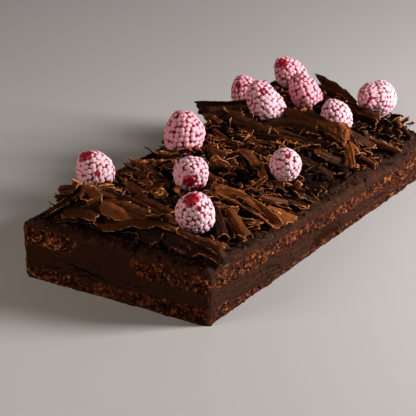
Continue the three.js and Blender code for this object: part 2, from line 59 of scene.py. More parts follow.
# ---- Driving values, mm ----
CENTRE = (-4.717, -1.663)  # the part's origin, in the cake's own frame
LEVELS = (0, 10.3, 19.8, 30.2, 34.5)  # the interfaces in the middle of the cake
SLOPE_IN = 26.0  # how far in from the outline an interface is level
CORNER_HEIGHTS = (  # the interfaces' heights at the corners
    (0, 10.6, 18.6, 29.4, 33.8),  # near right
    (0, 7.8, 17, 32, 34.3),  # near left
    (0, 9, 18.5, 30.5, 34),  # far left
    (0, 7, 12.5, 20, 25),  # far right
)
# The interfaces along the shown long side: pairs of distance from the near end and height.
SLUMP = (
    ((0, 0), (1, 0)),
    ((0, 10.6), (32, 4.4), (70, 3), (100, 3), (135, 3), (160, 5), (210, 6), (250, 7)),
    ((0, 18.6), (26, 15.8), (70, 14.6), (100, 13), (128, 11.4), (155, 10.2), (200, 10), (250, 12.5)),
    ((0, 29.4), (26, 27), (68, 24.6), (90, 23), (128, 19.6), (176, 17.4), (210, 17.4), (250, 20)),
    ((0, 33.8), (26, 32.4), (68, 28.6), (100, 27), (128, 25.4), (165, 23.6), (210, 22.4), (250, 25)),
)
HOLLOW = {"at": 121, "half_length": 19, "depth": 5}  # the wedge between base and mousse
RIGHT, FAR, LEFT, NEAR = range(4)  # the sides, anticlockwise from the near right corner
SPONGE_BASE, MOUSSE, SPONGE_TOP, GANACHE, TOP = range(5)  # the interfaces, each named for what lies on it
SMEAR = {"from": 0.25, "to": 0.65, "soft": 0.05}  # the stretch of the near end that is smeared smooth
CRUMBLED = (180, 205)  # along the shown side, where the mousse turns crumbly over its full height
# Cracks in the sides: the side, the two ends as distance along it and height, half its width, its depth.
CRACKS = (
    (NEAR, 24, 15.5, 58, 9.6, 0.9, 2.4),
    (NEAR, 30, 11.5, 50, 8.6, 0.6, 1.8),
    (NEAR, 12, 9.5, 26, 10.5, 0.6, 1.6),
    (NEAR, 62, 12.4, 84, 11.2, 0.45, 1.2),
    (NEAR, 88, 14.2, 104, 12.6, 0.4, 1.0),
    (RIGHT, 54, 10.4, 68, 7.4, 0.6, 1.8),
    (RIGHT, 60, 6.6, 70, 5.2, 0.5, 1.5),
    (RIGHT, 84, 7.6, 98, 6.4, 0.5, 1.4),
    (RIGHT, 176, 7.0, 196, 6.0, 0.6, 1.6),
    (FAR, 20, 8.2, 46, 9.4, 0.7, 2.0),
    (FAR, 66, 9.0, 88, 8.2, 0.5, 1.5),
    (LEFT, 36, 9.2, 66, 8.4, 0.7, 2.0),
    (LEFT, 120, 8.6, 138, 9.4, 0.5, 1.5),
    (LEFT, 182, 8.6, 214, 8.0, 0.6, 1.8),
)
# Where the heap stands higher: the place in the plan, the rise and the radius.
MOUNDS = (
    (30, 37, 9, 20),
    (-93, 47, 5, 24),
    (70, 43, 4.5, 20),
    (112, 40, 4.5, 20),
    (95, 0, 5, 26),
    (56, -12, 4, 18),
)
# Where the heap's flakes are painted in shade and sparse: the place in the plan, the radius and the share
# left out.
SHADED = (
    (12, -40, 26, 0.45),
    (48, 6, 26, 0.8),
    (42, 42, 28, 0.85),
    (80, -32, 30, 0.05),
    (28, -50, 18, 0.4),
    (-48, 20, 14, 0.3),
)
# The raspberries: the place in the plan, the width and length, the compass angle of the tip from +X
# towards +Y and its angle up, the bare patches, each as a compass angle, an angle up and a spread, how pink
# the frost is, and a waist as the compass angle across it, its place and its depth.
BERRIES = (
    (-80, 51, 22, 20, 120, 68, ((150, 62, 26), (230, 5, 9)), 0.2, ()),
    (-7.5, 39, 25, 24, 60, 84, ((240, -34, 12),), 0.4, ()),
    (-55.5, -0.5, 20.5, 19.5, 235, 24, ((205, -8, 26), (250, -45, 22)), 0.15, ()),
    (-99, -32.5, 22, 23.5, 200, 52, ((196, 58, 26), (228, 30, 9)), 0.15, ()),
    (66, 43.5, 19, 19.5, 120, 70, ((170, 40, 14),), 0.5, ()),
    (53, 21, 22.5, 27, 110, 58, ((205, 55, 12),), 0.22, (-55, 0.75, 0.1)),
    (110, 39, 19.5, 20, 120, 45, ((170, 50, 24),), 0.45, ()),
    (85, 11.5, 19.5, 20.5, 100, 60, (), 0.5, ()),
    (67, -22.5, 19, 20, 130, 65, (), 0.2, ()),
    (103.5, -30, 24.5, 26, 195, 20, (), 0.3, (-55, -0.05, 0.13)),
    (-14, -37.5, 19, 20, 225, 35, ((215, 50, 10),), 0.1, ()),
)
BERRY_SUNK = 2.5  # into the heap's core
BERRY_CLEARANCE = 0.5  # that a shaving keeps from a berry
BERRY_BODY = (0.915, 0.97)  # the shares of a berry's width and length that lie under its drupelets
# The drupelets: their size on a berry 20 mm wide and its growth with the width, how close their rings are,
# the reach of the dome and of its crown as shares of the size, the dome's rise, and how deep the grooves are.
DRUPELET = {
    "size": 3.1, "growth": 0.04, "pitch": 0.92, "reach": 0.63, "crown": 0.585, "rise": 1.4, "groove": 0.35,
}
KEY_LIGHT_SIDE = (0.5677, -0.8232, 0.0)  # the side of a berry towards the key light; away from it the frost is painted pinker as shade
SHOULDER = {"in": 5.0, "down": 3.2}  # the ganache's rounded edge
SETTLED = 0.75  # how far a shaving's lowest point is inside the core
ROUGH_THICKNESS = 0.9  # of a shaving while it is being laid
WIDEST = 0.7  # the share of its width, to each side, to which a shaving's section is worked out


def shaving(start, end, width, turn, roll=0.0, bias=0.0, taper=0.0, bow=0.0, rest=0.0, tone=-1.0):
    """One shaving: its axis's ends with heights over the core, its width round the curl and its turn.

    Roll turns it about its axis, bias curls it more towards one edge, taper widens it to its end, bow
    lifts its middle, and rest is how far above the core it stays. A tone of 0 is the darkest face, 1 the
    lightest, and below 0 it is left to chance; a given tone is painted light and shade, high where the
    shaving is lit and low where it lies in shade. Angles are in degrees.
    """
    return (*start, *end, width, turn, roll, bias, taper, bow, rest, tone)


# The shavings that stand out on the cake, from the near end to the far end. Their given tones are
# painted light and shade: high on faces in the light, low on faces in shade.
SHOWN_SHAVINGS = (
    # under the sheets stacked along the near end
    shaving((-113, 16, 1.5), (-102, -17, 1.5), 12, -60, -18, tone=0.1),
    shaving((-107, -14, 2), (-108, -54, 1.5), 13, -70, -22, tone=0.1),
    shaving((-120, 32, 1), (-112, 4, 1.5), 11, -110, -10, tone=0.2),
    # flat pieces and a loop at the near left corner
    shaving((-126, 49, 1), (-101, 46, 2), 6, -40, 10),
    shaving((-126, 42, 1), (-109, 36, 2.5), 6, -50, -8),
    shaving((-123, 37, 1.5), (-117, 25, 2), 10, -60, -30),
    shaving((-104, 57, 4), (-100, 45, 3), 15, -280, 20),
    shaving((-113, 50, 2.5), (-97, 55, 3), 9, -120),
    shaving((-99, 44, 2.5), (-105, 27, 4), 9, -30, -50),
    # the broad half curls behind them
    shaving((-109, 24, 2.5), (-107, -9, 2.5), 15, -150, -35, bias=0.35, bow=1.5),
    shaving((-93, 23, 3), (-100, -12, 3), 14, -170, -10, taper=-0.2),
    shaving((-97, 33, 3.5), (-95, 22, 3.5), 11, -260),
    shaving((-84, 16, 2), (-92, -14, 2.5), 12, -120, 12),
    # round the raspberry of the near right corner
    shaving((-77, -31, 5), (-97, -50, 4), 17, -375, 30, taper=0.6),
    shaving((-81, -39, 3), (-85, -55, 2), 9, -170),
    shaving((-73, -38, 3), (-83, -57, 2), 13, -190, 20),
    # the double scroll and its neighbours
    shaving((-57, -18, 4), (-57, -61, 2.5), 15, 200, -10, bow=1, tone=1.05),
    shaving((-54, -36, 4), (-49, -63, 2), 12, -150, 10, tone=0.9),
    shaving((-48, -46, 3), (-41, -62, 2), 11, -110, 10, bias=0.4, tone=0.95),
    shaving((-45, -38, 3), (-22, -55, 2), 7, -120, tone=0.6),
    shaving((-34, -24, 3.5), (-23, -36, 3), 10, 170, rest=-0.5),
    shaving((-29, -48, 2), (-21, -58, 1.5), 9, -90),
    # the arched strip, and the flakes round it
    shaving((2, 6, 2), (-17, -22, 1), 7, -40, bow=5),
    shaving((-8, -6, 2.5), (-23, -17, 2), 9, -60, 30),
    shaving((-12, 16, 3), (-10, 5, 3), 14, -200, 20),
    shaving((18, 8, 3), (21, -9, 3.5), 10, -60, 25),
    # the stacked rolls at the back, and the long sheet in front of them
    shaving((24, 51, 3), (44, 26, 3), 13, -320, tone=0.0),
    shaving((23, 44, 0.5), (38, 22, 0.5), 12, -60, -25, tone=0.0),
    shaving((28, 34, 0.5), (34, 4, 1), 11, -70, -20, tone=0.0),
    shaving((27, 10, 2), (33, -27, 1.5), 9, -170, bow=1.5, tone=0.1),
    # the great roll and the sheet that it is rolled from
    shaving((60, 6, 3), (64, -30, 3), 18, -330, 60, taper=0.15, rest=3.5, tone=0.3),
    shaving((52, 2, 0.5), (48, -36, 0.5), 13, 30, -30, tone=0.2),
    shaving((38, -3, 2.5), (41, -37, 2), 11, -90, tone=0.05),
    shaving((58, -32, 2), (54, -47, 2.5), 12, 200, 30),
    shaving((31, -26, 3), (30, -41, 2.5), 7, -150, tone=0.1),
    shaving((21, -37, 2), (40, -54, 1.5), 12, -200, bias=0.2),
    shaving((10, -30, 2), (18, -51, 1.5), 10, -140, tone=0.05),
    shaving((51, -49, 2.5), (54, -60, 2), 12, -290),
    # the far end
    shaving((112, 20, 1), (97, -21, 1), 10, -60, -40, tone=0.1),
    shaving((89, -4, 4), (94, -13, 4), 9, -200, -20, tone=0.15),
    shaving((85, -15, 3), (86, -41, 4), 15, 120, -30, rest=-0.8, tone=0.15),
    shaving((76, -29, 2), (78, -44, 2), 12, -60, -40, tone=0.15),
    shaving((60, -34, 2), (69, -50, 1.5), 10, -140, tone=0.15),
    shaving((70, -42, 2.5), (88, -57, 2), 12, 160, tone=0.15),
    shaving((108, -42, 4), (106, -56, 3), 9, -320, rest=-0.6, tone=0.15),
    shaving((111, 24, 2), (116, -4, 2), 13, -160, tone=0.15),
)
# Thin sheets that stand out by their lines. Each has its tone, which is painted light and shade, the way
# from its crest to its back edge, and the lines of its outer edge and of its crest. The first ones are
# stacked along the near end.
STACKED_SHEETS = (
    (0.7, (5, 0, -1.5), (
      ((-117.4, 17.3, 44.1), (-117.3, 15.5, 42.1), (-117.1, 12.9, 40.6), (-116.5, 5.8, 40.8),
       (-115, 0.1, 42.4), (-113.4, -6.8, 42.5), (-111.7, -15.6, 42.4)),
      ((-114.6, 18.8, 48), (-113.6, 13.3, 47.9), (-112.7, 8.6, 45.8), (-112.2, 2.2, 43.1),
       (-111.3, -2.5, 42.5), (-110.1, -11.1, 43.2), (-109.4, -18.6, 42.9)),
    )),
    (0.15, (5, 0, -1.5), (
      ((-125.3, 15.5, 39.9), (-126, 12.2, 38.6), (-126.7, 8.3, 38.5), (-126.2, 1.8, 40.1),
       (-125.2, -3.6, 41.8), (-124, -6.1, 43.5), (-123.2, -9.5, 45.3), (-123.3, -14.3, 44.9),
       (-123.4, -19.6, 46.7), (-122.1, -23.3, 48.6), (-121.6, -28.3, 48.7), (-120.9, -37.4, 48.3)),
      ((-120.5, 18.6, 38.9), (-120.5, 12.4, 38.8), (-119.6, 7.5, 40.1), (-118, -0.2, 43),
       (-117.5, -6.5, 44.9), (-116.8, -14.8, 46.2), (-116.2, -21, 47.5), (-115.8, -26.6, 47.6),
       (-115.7, -33.7, 46.9)),
    )),
    (-0.25, (4, 0, 0.5), (
      ((-124.9, -13.4, 42.3), (-125.8, -14.7, 40.1), (-126, -18.1, 39), (-125.5, -23.7, 38.9),
       (-124.7, -27.1, 40.5), (-123.6, -28.9, 43.2)),
      ((-121.2, -9.9, 41.6), (-120.9, -13.1, 42.4), (-120.6, -16.2, 43.2), (-120.3, -20, 43.8),
       (-120.1, -23.1, 44.2), (-119.8, -26.8, 44)),
    )),
    (-0.25, (4, 0, 0), (
      ((-123, -24.5, 41.7), (-123.6, -28.9, 41.4), (-124.3, -32.6, 39.8), (-124.4, -37.3, 39.4),
       (-124, -41.5, 39), (-123.3, -44.2, 37.1), (-122.5, -48.1, 37.3), (-120.8, -50.2, 38.9),
       (-120, -54.1, 38.5), (-118.7, -57.6, 37), (-117.4, -61.2, 34.8), (-115.6, -64.4, 33.5)),
      ((-119.3, -20.5, 43.2), (-118.7, -27.3, 42.5), (-118.2, -33.5, 42), (-117.7, -39.6, 41.1),
       (-117.2, -45.7, 40), (-116.7, -51.8, 39.1), (-115.9, -55.7, 38.2), (-115.5, -59.9, 36.9),
       (-115.2, -64.1, 34.1)),
    )),
    (-0.15, (4, 0, 0), (
      ((-120.4, -18.7, 43.8), (-120.3, -26.5, 43.2), (-120.1, -34.9, 42.2), (-119.6, -41, 41.1),
       (-118.6, -46.7, 39.4), (-117.6, -52.4, 38.6), (-116.8, -56.9, 37.1), (-115.9, -60.8, 35.6),
       (-114.7, -63.7, 33.5)),
      ((-116.7, -16, 43.9), (-115.9, -25.3, 43.8), (-115.2, -33.3, 43.4), (-114.7, -39.5, 42.2),
       (-114.2, -45.6, 41.4), (-114.2, -51.3, 40.4), (-114.4, -55.3, 39.2), (-114.5, -59.8, 37),
       (-114.2, -63.4, 34.1)),
    )),
    (0.0, (5, 0, -2), (
      ((-116.8, -14.7, 44.8), (-116.5, -23.8, 44.8), (-116.4, -31.6, 44.5), (-116.3, -38.6, 43.5),
       (-115.8, -44.1, 42.2), (-115.4, -49.6, 41.5), (-115, -53.8, 40.2), (-114.7, -57.4, 38.5),
       (-114.5, -60.4, 36.6), (-113.8, -62.8, 33.8)),
      ((-113, -11.9, 44), (-112.2, -22, 44.3), (-112, -30.4, 44.5), (-112, -36.2, 43.7),
       (-112, -42.1, 42.7), (-112, -47.9, 42.9), (-112.6, -52.8, 43.6), (-112.8, -56.7, 41.9),
       (-113, -59.4, 39.2), (-113.3, -62.2, 35.4)),
    )),
    (0.7, (2.5, 0, -2), (
      ((-112.4, -43, 42.9), (-113.1, -47.3, 42.6), (-113.2, -51.3, 42.6), (-113.4, -54.6, 42.7),
       (-113.2, -57.6, 41.1), (-112.5, -59.7, 41.2)),
      ((-110.5, -41.7, 42.9), (-110.6, -46.3, 43.1), (-110.8, -50.9, 43.8), (-111, -54.2, 43.1),
       (-111.3, -56.9, 42.5), (-111, -59.9, 41.8)),
    )),
    (0.0, (5, 0, 0), (
      ((-127, 36.4, 39.1), (-126.7, 32.4, 39.7), (-126.3, 27.8, 40.5), (-125.9, 22.5, 41.8),
       (-125.5, 18, 41.7), (-124.2, 14.9, 40.8)),
      ((-123.2, 38.8, 40), (-122.8, 34.1, 42), (-122.4, 28.7, 43.6), (-122, 23.5, 44.2),
       (-121.6, 19.6, 43.9), (-121.4, 16.4, 42.9)),
    )),
    # the rolls and sheets stacked at the back, the great roll and the upright flakes beyond it
    (-0.2, (3, 2.4, -1), (
      ((32, 55.7, 47.5), (37, 47, 47.5), (43, 39.8, 47.5), (49.1, 34, 47.5), (55.5, 29.9, 47)),
      ((33.8, 59.2, 49.5), (38.8, 52, 49.5), (43.8, 44.1, 49.5), (49.5, 38, 49.5), (57.7, 32.9, 49)),
    )),
    (-0.25, (3, 4, 0), (
      ((30, 51.2, 44.5), (32.8, 44.1, 44.5), (35.4, 34.6, 44.5), (36.5, 24.2, 44.5), (37, 15.6, 44)),
      ((32.1, 55.8, 46.8), (35.3, 48.1, 46.8), (39.6, 38.9, 46.8), (43.5, 30.3, 46.8), (43.5, 19.2, 46)),
    )),
    (0.15, (3, 4, 1), (
      ((23.9, 42.5, 40.5), (28.5, 35.9, 41.5), (31.7, 28.4, 41.5), (33.6, 18.5, 41.5), (35.1, 9.9, 41),
       (35.6, 0.1, 40.5)),
      ((28.9, 49, 44), (33.9, 41.1, 44.5), (36.5, 31.6, 44.5), (38, 21.4, 44), (37.4, 11.5, 43.5),
       (37.2, 1.2, 43)),
    )),
    (0.3, (4, 3, -0.5), (
      ((34.9, -1.8, 40.5), (34.8, -10.5, 40), (33.6, -20.5, 39.5), (33.2, -29.9, 39), (34.7, -37.4, 38)),
      ((39.5, 5.5, 42.5), (39.3, -2.6, 42.5), (38.1, -12.7, 42), (36.9, -23.4, 41), (35.9, -34.6, 39.5)),
    )),
    (-0.1, (5, 4, 0), (
      ((32.6, 12, 42), (38.2, 5.4, 43), (43, -3.1, 44), (43.5, -14.3, 44.5), (42.5, -24.8, 44)),
      ((36, 11.3, 45), (41.5, 5.4, 46.5), (46, -2.6, 47.5), (48.5, -11.9, 47.5), (48.5, -21.1, 47)),
    )),
    (0.1, (5, 6, -6), (
      ((51.6, 3.1, 46), (50.6, -6.3, 45.5), (49.6, -17, 45), (47.3, -29, 44), (45.8, -38.4, 42.5),
       (45.2, -42.2, 42)),
      ((56.2, 8.2, 50), (58.2, -2.2, 50), (60.6, -11.6, 49.5), (61.7, -18.8, 49), (62, -24.4, 48.5),
       (60.6, -28.8, 48)),
    )),
    (0.1, (3, 5, -7), (
      ((51.7, 0.1, 43), (51.4, -10.2, 43.5), (50.4, -20.8, 43), (50.5, -30, 42.5), (49.5, -37.6, 42)),
      ((59, 4.8, 47.5), (59.7, -5, 47.5), (60, -14.2, 47.5), (61, -22.2, 47), (61.4, -29.8, 46)),
    )),
    (0.0, (5, 3, -2), (
      ((103.2, 8.9, 50), (101.4, 1.1, 49.5), (98.1, -8.2, 48.5), (93.1, -17.8, 47.5), (89.3, -25.8, 46.5)),
      ((106.7, 15.7, 55), (105.2, 7.3, 54.5), (103.4, -1.3, 53.5), (98.9, -11.3, 52), (93, -22.8, 49)),
    )),
    (0.0, (5, 3, -1), (
      ((85, -18.9, 47), (84.9, -26.2, 46), (84.1, -33.1, 45.5), (84.4, -40.8, 44.5), (85, -44, 44)),
      ((87.2, -16, 49), (87.1, -23.4, 48), (87.3, -30.4, 47.5), (87.6, -37.4, 47), (90.8, -40.6, 46)),
    )),
    (0.85, (3, 2, -1), (
      ((38.5, -44.7, 43), (35.3, -47.3, 41.5), (32.2, -49.9, 40), (29.1, -52.4, 38.5), (26.4, -55.4, 37)),
      ((43.3, -46.6, 45), (40.5, -49.7, 43.5), (36.2, -53.3, 42), (32.6, -55.8, 40), (27.6, -58.7, 38)),
    )),
    (1.3, (3, -1, -2), (
      ((53.8, -25.8, 45), (47.7, -33, 43.5), (44.5, -39.2, 41.5), (44.6, -43.3, 40.5)),
      ((62, -22.9, 48.5), (62.4, -27.7, 48.5), (58.9, -34, 46.5), (55.9, -38.7, 44)),
    )),
    (0.9, (2, -2, -1.5), (
      ((45, -41.7, 40), (48.9, -42.2, 42), (54.6, -40.2, 43.5), (59.7, -37.2, 45)),
      ((46.5, -38, 42.5), (51.1, -37.3, 44), (55.5, -36.1, 45.5), (58.9, -33.3, 47)),
    )),
)
# The rest of the large shavings: their grid, how far they keep from the ones above, and their ranges.
LOOSE = {"rows": 10, "columns": 6, "apart": 16, "length": (14, 28), "width": (7, 13), "turn": (70, 230)}
# The small strips scattered in the heap. Spacing and margin are their grid's, and a margin below 0 reaches
# out past the heap's foot. Lengths, widths and turns run from the least to the most. Spread is the angle from
# straight across the cake, tilt from level, roll about the strip's axis, and lift the height over the core.
SCATTERED = {
    "broad_flakes": {
        "seed": 250, "spacing": 6.1, "margin": -1, "length": (6, 19), "width": (4.0, 8.5),
        "turn": (25, 150), "spread": 62, "tilt": 34, "roll": 60, "lift": 3.6,
    },
    "flakes": {
        "seed": 200, "spacing": 4.8, "margin": -2, "length": (3.5, 13), "width": (2.0, 6.0),
        "turn": (15, 170), "spread": 75, "tilt": 44, "roll": 80, "lift": 4.6,
    },
    "shreds": {
        "seed": 300, "spacing": 4.3, "margin": -3, "length": (3, 11), "width": (0.6, 1.8),
        "turn": (30, 200), "spread": 80, "tilt": 45, "roll": 90, "lift": 4.0,
    },
}
# The strips' surfaces: the rows and columns of each, its thickness as a share of the setting's, and how far
# its edges are torn.
STRIP_SURFACES = {
    "curls": ((30, 18), 1.0, 1.0),
    "nested_sheets": ((24, 14), 0.8, 1.0),
    "under_sheets": ((20, 10), 0.8, 1.0),
    "broad_flakes": ((11, 8), 1.0, 0.8),
    "flakes": ((8, 6), 1.0, 0.6),
    "shreds": ((8, 1), 0.8, 0.15),
}
# ---- The stage, metres ----
FLOOR_SIZE = 8.0
WORLD_TINT = (1.0, 0.88, 0.80, 1.0)
# The lights, each named as its setting: the place, the width and the tint.
LIGHTS = {
    "key": ((0.45, -0.76, 0.40), 0.30, (1.0, 0.95, 0.94)),
    "fill": ((-0.58, 0.26, 0.36), 0.35, (1.0, 0.86, 0.74)),
    "rim": ((0.80, 0.30, 0.70), 0.4, (0.95, 0.95, 1.0)),
}


# ---- Seeded variation ----
# A seed is any number, and sets one pattern apart from the others.
def hashed(i, j, seed):
    """A number from 0 to 1 for a pair of whole numbers: what a large sine leaves after the point."""
    value = np.sin(i * 127.1 + j * 311.7 + seed * 74.7) * 43758.5453
    return value - np.floor(value)


def ease(t):
    """From 0 to 1 with level ends: three squares less two cubes."""
    return t * t * (3 - 2 * t)


def mix(a, b, t):
    """The value at a share t of the way from a to b."""
    return a + (b - a) * t


def step(low, high, value):
    """0 below low, 1 above high, eased between."""
    return ease(np.clip((value - low) / (high - low), 0, 1))


def noise(x, y, seed):
    """Smooth noise from -1 to 1: hashed values at whole numbers, eased between them."""
    i, j = np.floor(x), np.floor(y)
    u, v = ease(x - i), ease(y - j)
    low = mix(hashed(i, j, seed), hashed(i + 1, j, seed), u)
    high = mix(hashed(i, j + 1, seed), hashed(i + 1, j + 1, seed), u)
    return 2 * mix(low, high, v) - 1


def octaves(x, y, *terms):
    """Noises added up: each term has its weight, its wavelengths along x and y, and its seed."""
    return sum(weight * noise(x / along, y / up, seed) for weight, along, up, seed in terms)


def teeth(place, number, coarse, fine, seed):
    """A torn edge's line: teeth of a height and wavelength, with smaller noise of another on them."""
    tall, small = noise(place / coarse[1], number, seed), noise(place / fine[1], number, seed + 1)
    return coarse[0] * np.abs(tall) + fine[0] * small


def ridges(x, y, seed):
    """Sharp crests from 0 to 1: one less the size of two octaves of noise."""
    return 1 - np.abs(0.7 * noise(x, y, seed) + 0.5 * noise(2.1 * x, 2.1 * y, seed + 1))


def cells(x, y, seed):
    """The nearest of points scattered one to a unit square: how far off it is, and its own number."""
    i, j = np.floor(x), np.floor(y)
    nearest = np.full(np.shape(x), 9.0)
    own = np.zeros(np.shape(x))
    for across in (-1, 0, 1):
        for up in (-1, 0, 1):
            ci, cj = i + across, j + up
            px = ci + 0.5 + 0.8 * (hashed(ci, cj, seed) - 0.5)
            py = cj + 0.5 + 0.8 * (hashed(ci, cj, seed + 1) - 0.5)
            away = np.hypot(x - px, y - py)
            own = np.where(away < nearest, hashed(ci, cj, seed + 2), own)
            nearest = np.minimum(nearest, away)
    return nearest, own


# ---- The plan ----
class Plan:
    """The cake's outline in millimetres, and the surfaces worked out from it.

    The outline is walked anticlockwise from the near right corner. Each station has its side, its share
    of the way along that side, and the angle of its outward direction.
    """

    def __init__(self, sizes):
        self.length = MM * sizes.length
        self.width = MM * sizes.width
        self.skew = MM * sizes.skew
        self.corner = MM * sizes.corner
        self.heap_inset = MM * sizes.heap_inset
        self.heap_rise = MM * sizes.heap_rise
        spacing = MM * sizes.spacing
        straight = [self.length - 2 * self.corner, self.width - 2 * self.corner] * 2
        bend = max(3, round(0.5 * math.pi * self.corner / spacing))
        side, share, angle = [], [], []
        for k, distance in enumerate(straight):
            count = round(distance / spacing)
            turn = np.arange(1, bend + 1) / (bend + 1)
            side.append(np.full(count + 1 + bend, k))
            share.append(np.concatenate([np.linspace(0, 1, count + 1), np.ones(bend)]))
            angle.append(90.0 * (k - 1) + 90 * np.concatenate([np.zeros(count + 1), turn]))
        self.side = np.concatenate(side)
        self.share = np.concatenate(share)
        self.angle = np.radians(np.concatenate(angle))
        self.out = np.cos(self.angle), np.sin(self.angle)
        x, y = self.ring(0)
        steps = np.hypot(np.diff(x, prepend=x[0]), np.diff(y, prepend=y[0]))
        self.walked = np.cumsum(steps)
        self.edges = [self.edge_height(level, self.side, self.share) for level in range(5)]
        for level in (MOUSSE, SPONGE_TOP, GANACHE):
            ragged = octaves(self.walked, level, (0.45, 8, 1, 31), (0.3, 2.4, 1, 32))
            self.edges[level] = self.edges[level] + ragged

    def slant(self, x, y):
        """The near end is cut out of square: a shift along X that grows to the left and fades out ahead."""
        return -self.skew * (y / self.width + 0.5) * (0.5 - x / self.length)

    def ring(self, inset):
        """The outline at an inset: straight sides with quarter circles between them, then slanted."""
        radius = max(self.corner - inset, 1)
        a = self.length / 2 - inset - radius
        b = self.width / 2 - inset - radius
        x = mix(np.array([-a, a, a, -a])[self.side], np.array([a, a, -a, -a])[self.side], self.share)
        y = mix(np.array([-b, -b, b, b])[self.side], np.array([-b, b, b, -b])[self.side], self.share)
        x = x + radius * self.out[0]
        y = y + radius * self.out[1]
        return x + self.slant(x, y), y

    def edge_height(self, level, side, share):
        """An interface's height at the outline: the slump's line on the shown side, straight elsewhere."""
        near_right, near_left, far_left, far_right = (heights[level] for heights in CORNER_HEIGHTS)
        distances, heights = zip(*SLUMP[level])
        lines = (
            np.interp(share * self.length, distances, heights),
            mix(far_right, far_left, share),
            mix(far_left, near_left, share),
            mix(near_left, near_right, share),
        )
        return np.choose(side, lines)

    def wave(self, z):
        """How far a cut side stands in or out along the knife's slow wave, which rests at the start."""
        ends = np.minimum(self.walked, self.walked[-1] - self.walked)
        return 0.5 * noise(self.walked / 38, z / 30, 3) * step(0, 8, ends) - 0.4

    def side_rings(self, z, relief, hollow=0):
        """Rings of a cut side at heights z: the outline, moved out by the wave and the relief."""
        x, y = self.ring(0)
        move = np.stack([self.wave(row) for row in z]) + relief - hollow
        return np.stack([x + self.out[0] * move, y + self.out[1] * move, z], axis=-1)

    def hollow(self):
        """The hollow's depth at each station: a parabola along the shown side."""
        away = (self.share * self.length - HOLLOW["at"]) / HOLLOW["half_length"]
        return np.where(self.side == RIGHT, HOLLOW["depth"] * np.maximum(0, 1 - away**2), 0)

    def interface(self, level, inset, lift):
        """A ring of an interface, which slopes from its height at the outline to its level height."""
        fade = 1 - ease(np.clip(inset / SLOPE_IN, 0, 1))
        x, y = self.ring(inset)
        z = mix(LEVELS[level], self.edges[level], fade) + lift
        move = (self.wave(self.edges[level]) - (self.hollow() if level == MOUSSE else 0)) * fade
        if level == SPONGE_BASE:
            z = np.full_like(x, lift)
            move = move + 0.7 * noise(self.walked / 7, 0, 33) + 0.4 * noise(self.walked / 2.2, 0, 34)
        return np.stack([x + self.out[0] * move, y + self.out[1] * move, z], axis=-1)

    def top(self, x, y):
        """The ganache's top over a place: the nearest side's edge height, eased to level further in."""
        straight = x - self.slant(x, y)
        insets = np.stack([
            y + self.width / 2,
            self.length / 2 - straight,
            self.width / 2 - y,
            straight + self.length / 2,
        ])
        side = np.argmin(insets, axis=0)
        share = np.choose(side, [
            insets[NEAR] / self.length,
            insets[RIGHT] / self.width,
            insets[FAR] / self.length,
            insets[LEFT] / self.width,
        ])
        fade = 1 - ease(np.clip(np.min(insets, axis=0) / SLOPE_IN, 0, 1))
        return mix(LEVELS[TOP], self.edge_height(TOP, side, np.clip(share, 0, 1)), fade)

    def core(self, x, y):
        """The top of the heap's core: a low uneven mound over the ganache, higher at the named places."""
        straight = x - self.slant(x, y)
        inset = np.minimum(self.length / 2 - np.abs(straight), self.width / 2 - np.abs(y)) - self.heap_inset
        height = self.top(x, y) + self.heap_rise * (0.35 + 0.65 * ease(np.clip(inset / 16, 0, 1)))
        for at_x, at_y, rise, radius in MOUNDS:
            away = np.hypot(x - at_x, y - at_y) / radius
            height = height + rise * np.where(away < 1, 1 - away**2, 0) ** 2
        return height + 1.1 * noise(x / 17, y / 17, 21)


# ---- Meshes ----
def wrapped_quads(rows, columns):
    """The quads between successive rings of a stack, in which the last column joins the first."""
    row = np.arange(rows - 1)[:, None] * columns
    k = np.arange(columns)[None, :]
    ahead = (k + 1) % columns
    quads = np.stack([row + k, row + ahead, row + ahead + columns, row + k + columns], axis=-1)
    return quads.reshape(-1, 4)


def stack_faces(rows, columns):
    """A closed stack's quads, and the fans to the two middles that follow the points of its rings."""
    k = np.arange(columns)
    ahead = (k + 1) % columns
    last = (rows - 1) * columns
    bottom, top = (np.full(columns, rows * columns + end) for end in (0, 1))
    fans = [np.stack([bottom, ahead, k], axis=-1), np.stack([top, last + k, last + ahead], axis=-1)]
    return wrapped_quads(rows, columns), np.concatenate(fans)


def closed_stack(rings):
    """A closed surface through a stack of rings, each end closed by a fan to the middle of its ring."""
    points = np.concatenate([rings.reshape(-1, 3), [rings[0].mean(axis=0), rings[-1].mean(axis=0)]])
    return points, *stack_faces(*rings.shape[:2])


def with_ends(values):
    """A value for each vertex of a closed stack: its rings' values, and none at its two middles."""
    return np.concatenate([np.asarray(values, dtype=float).ravel(), [0.0, 0.0]])


def make_piece(name, points, quads, triangles, material, slot, replaced=(), numbers=None, uv=None):
    """Makes a mesh object from points in the cake's frame, parents it to the body's empty, and hides the
    parts that it replaces.
    """
    mesh = bpy.data.meshes.new(name)
    placed = (np.asarray(points) - (*CENTRE, 0.0)) / MM
    corners = np.concatenate([np.ravel(quads), np.ravel(triangles)]).astype(np.int32)
    starts = np.concatenate([4 * np.arange(len(quads)), 4 * len(quads) + 3 * np.arange(len(triangles))])
    mesh.vertices.add(len(placed))
    mesh.vertices.foreach_set("co", placed.astype(np.float32).ravel())
    mesh.loops.add(len(corners))
    mesh.loops.foreach_set("vertex_index", corners)
    mesh.polygons.add(len(starts))
    mesh.polygons.foreach_set("loop_start", starts.astype(np.int32))
    mesh.update(calc_edges=True)
    mesh.shade_smooth()
    for key, values in (numbers or {}).items():
        layer = mesh.attributes.new(key, "FLOAT", "POINT")
        layer.data.foreach_set("value", np.asarray(values, dtype=np.float32).ravel())
    if uv is not None:
        layer = mesh.uv_layers.new(name="strip")
        layer.data.foreach_set("uv", np.asarray(uv, dtype=np.float32)[corners].ravel())
    mesh.materials.append(material)
    piece = bpy.data.objects.new(name, mesh)
    bpy.context.scene.collection.objects.link(piece)
    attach(piece, BODY)
    if replaced:
        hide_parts(*replaced)


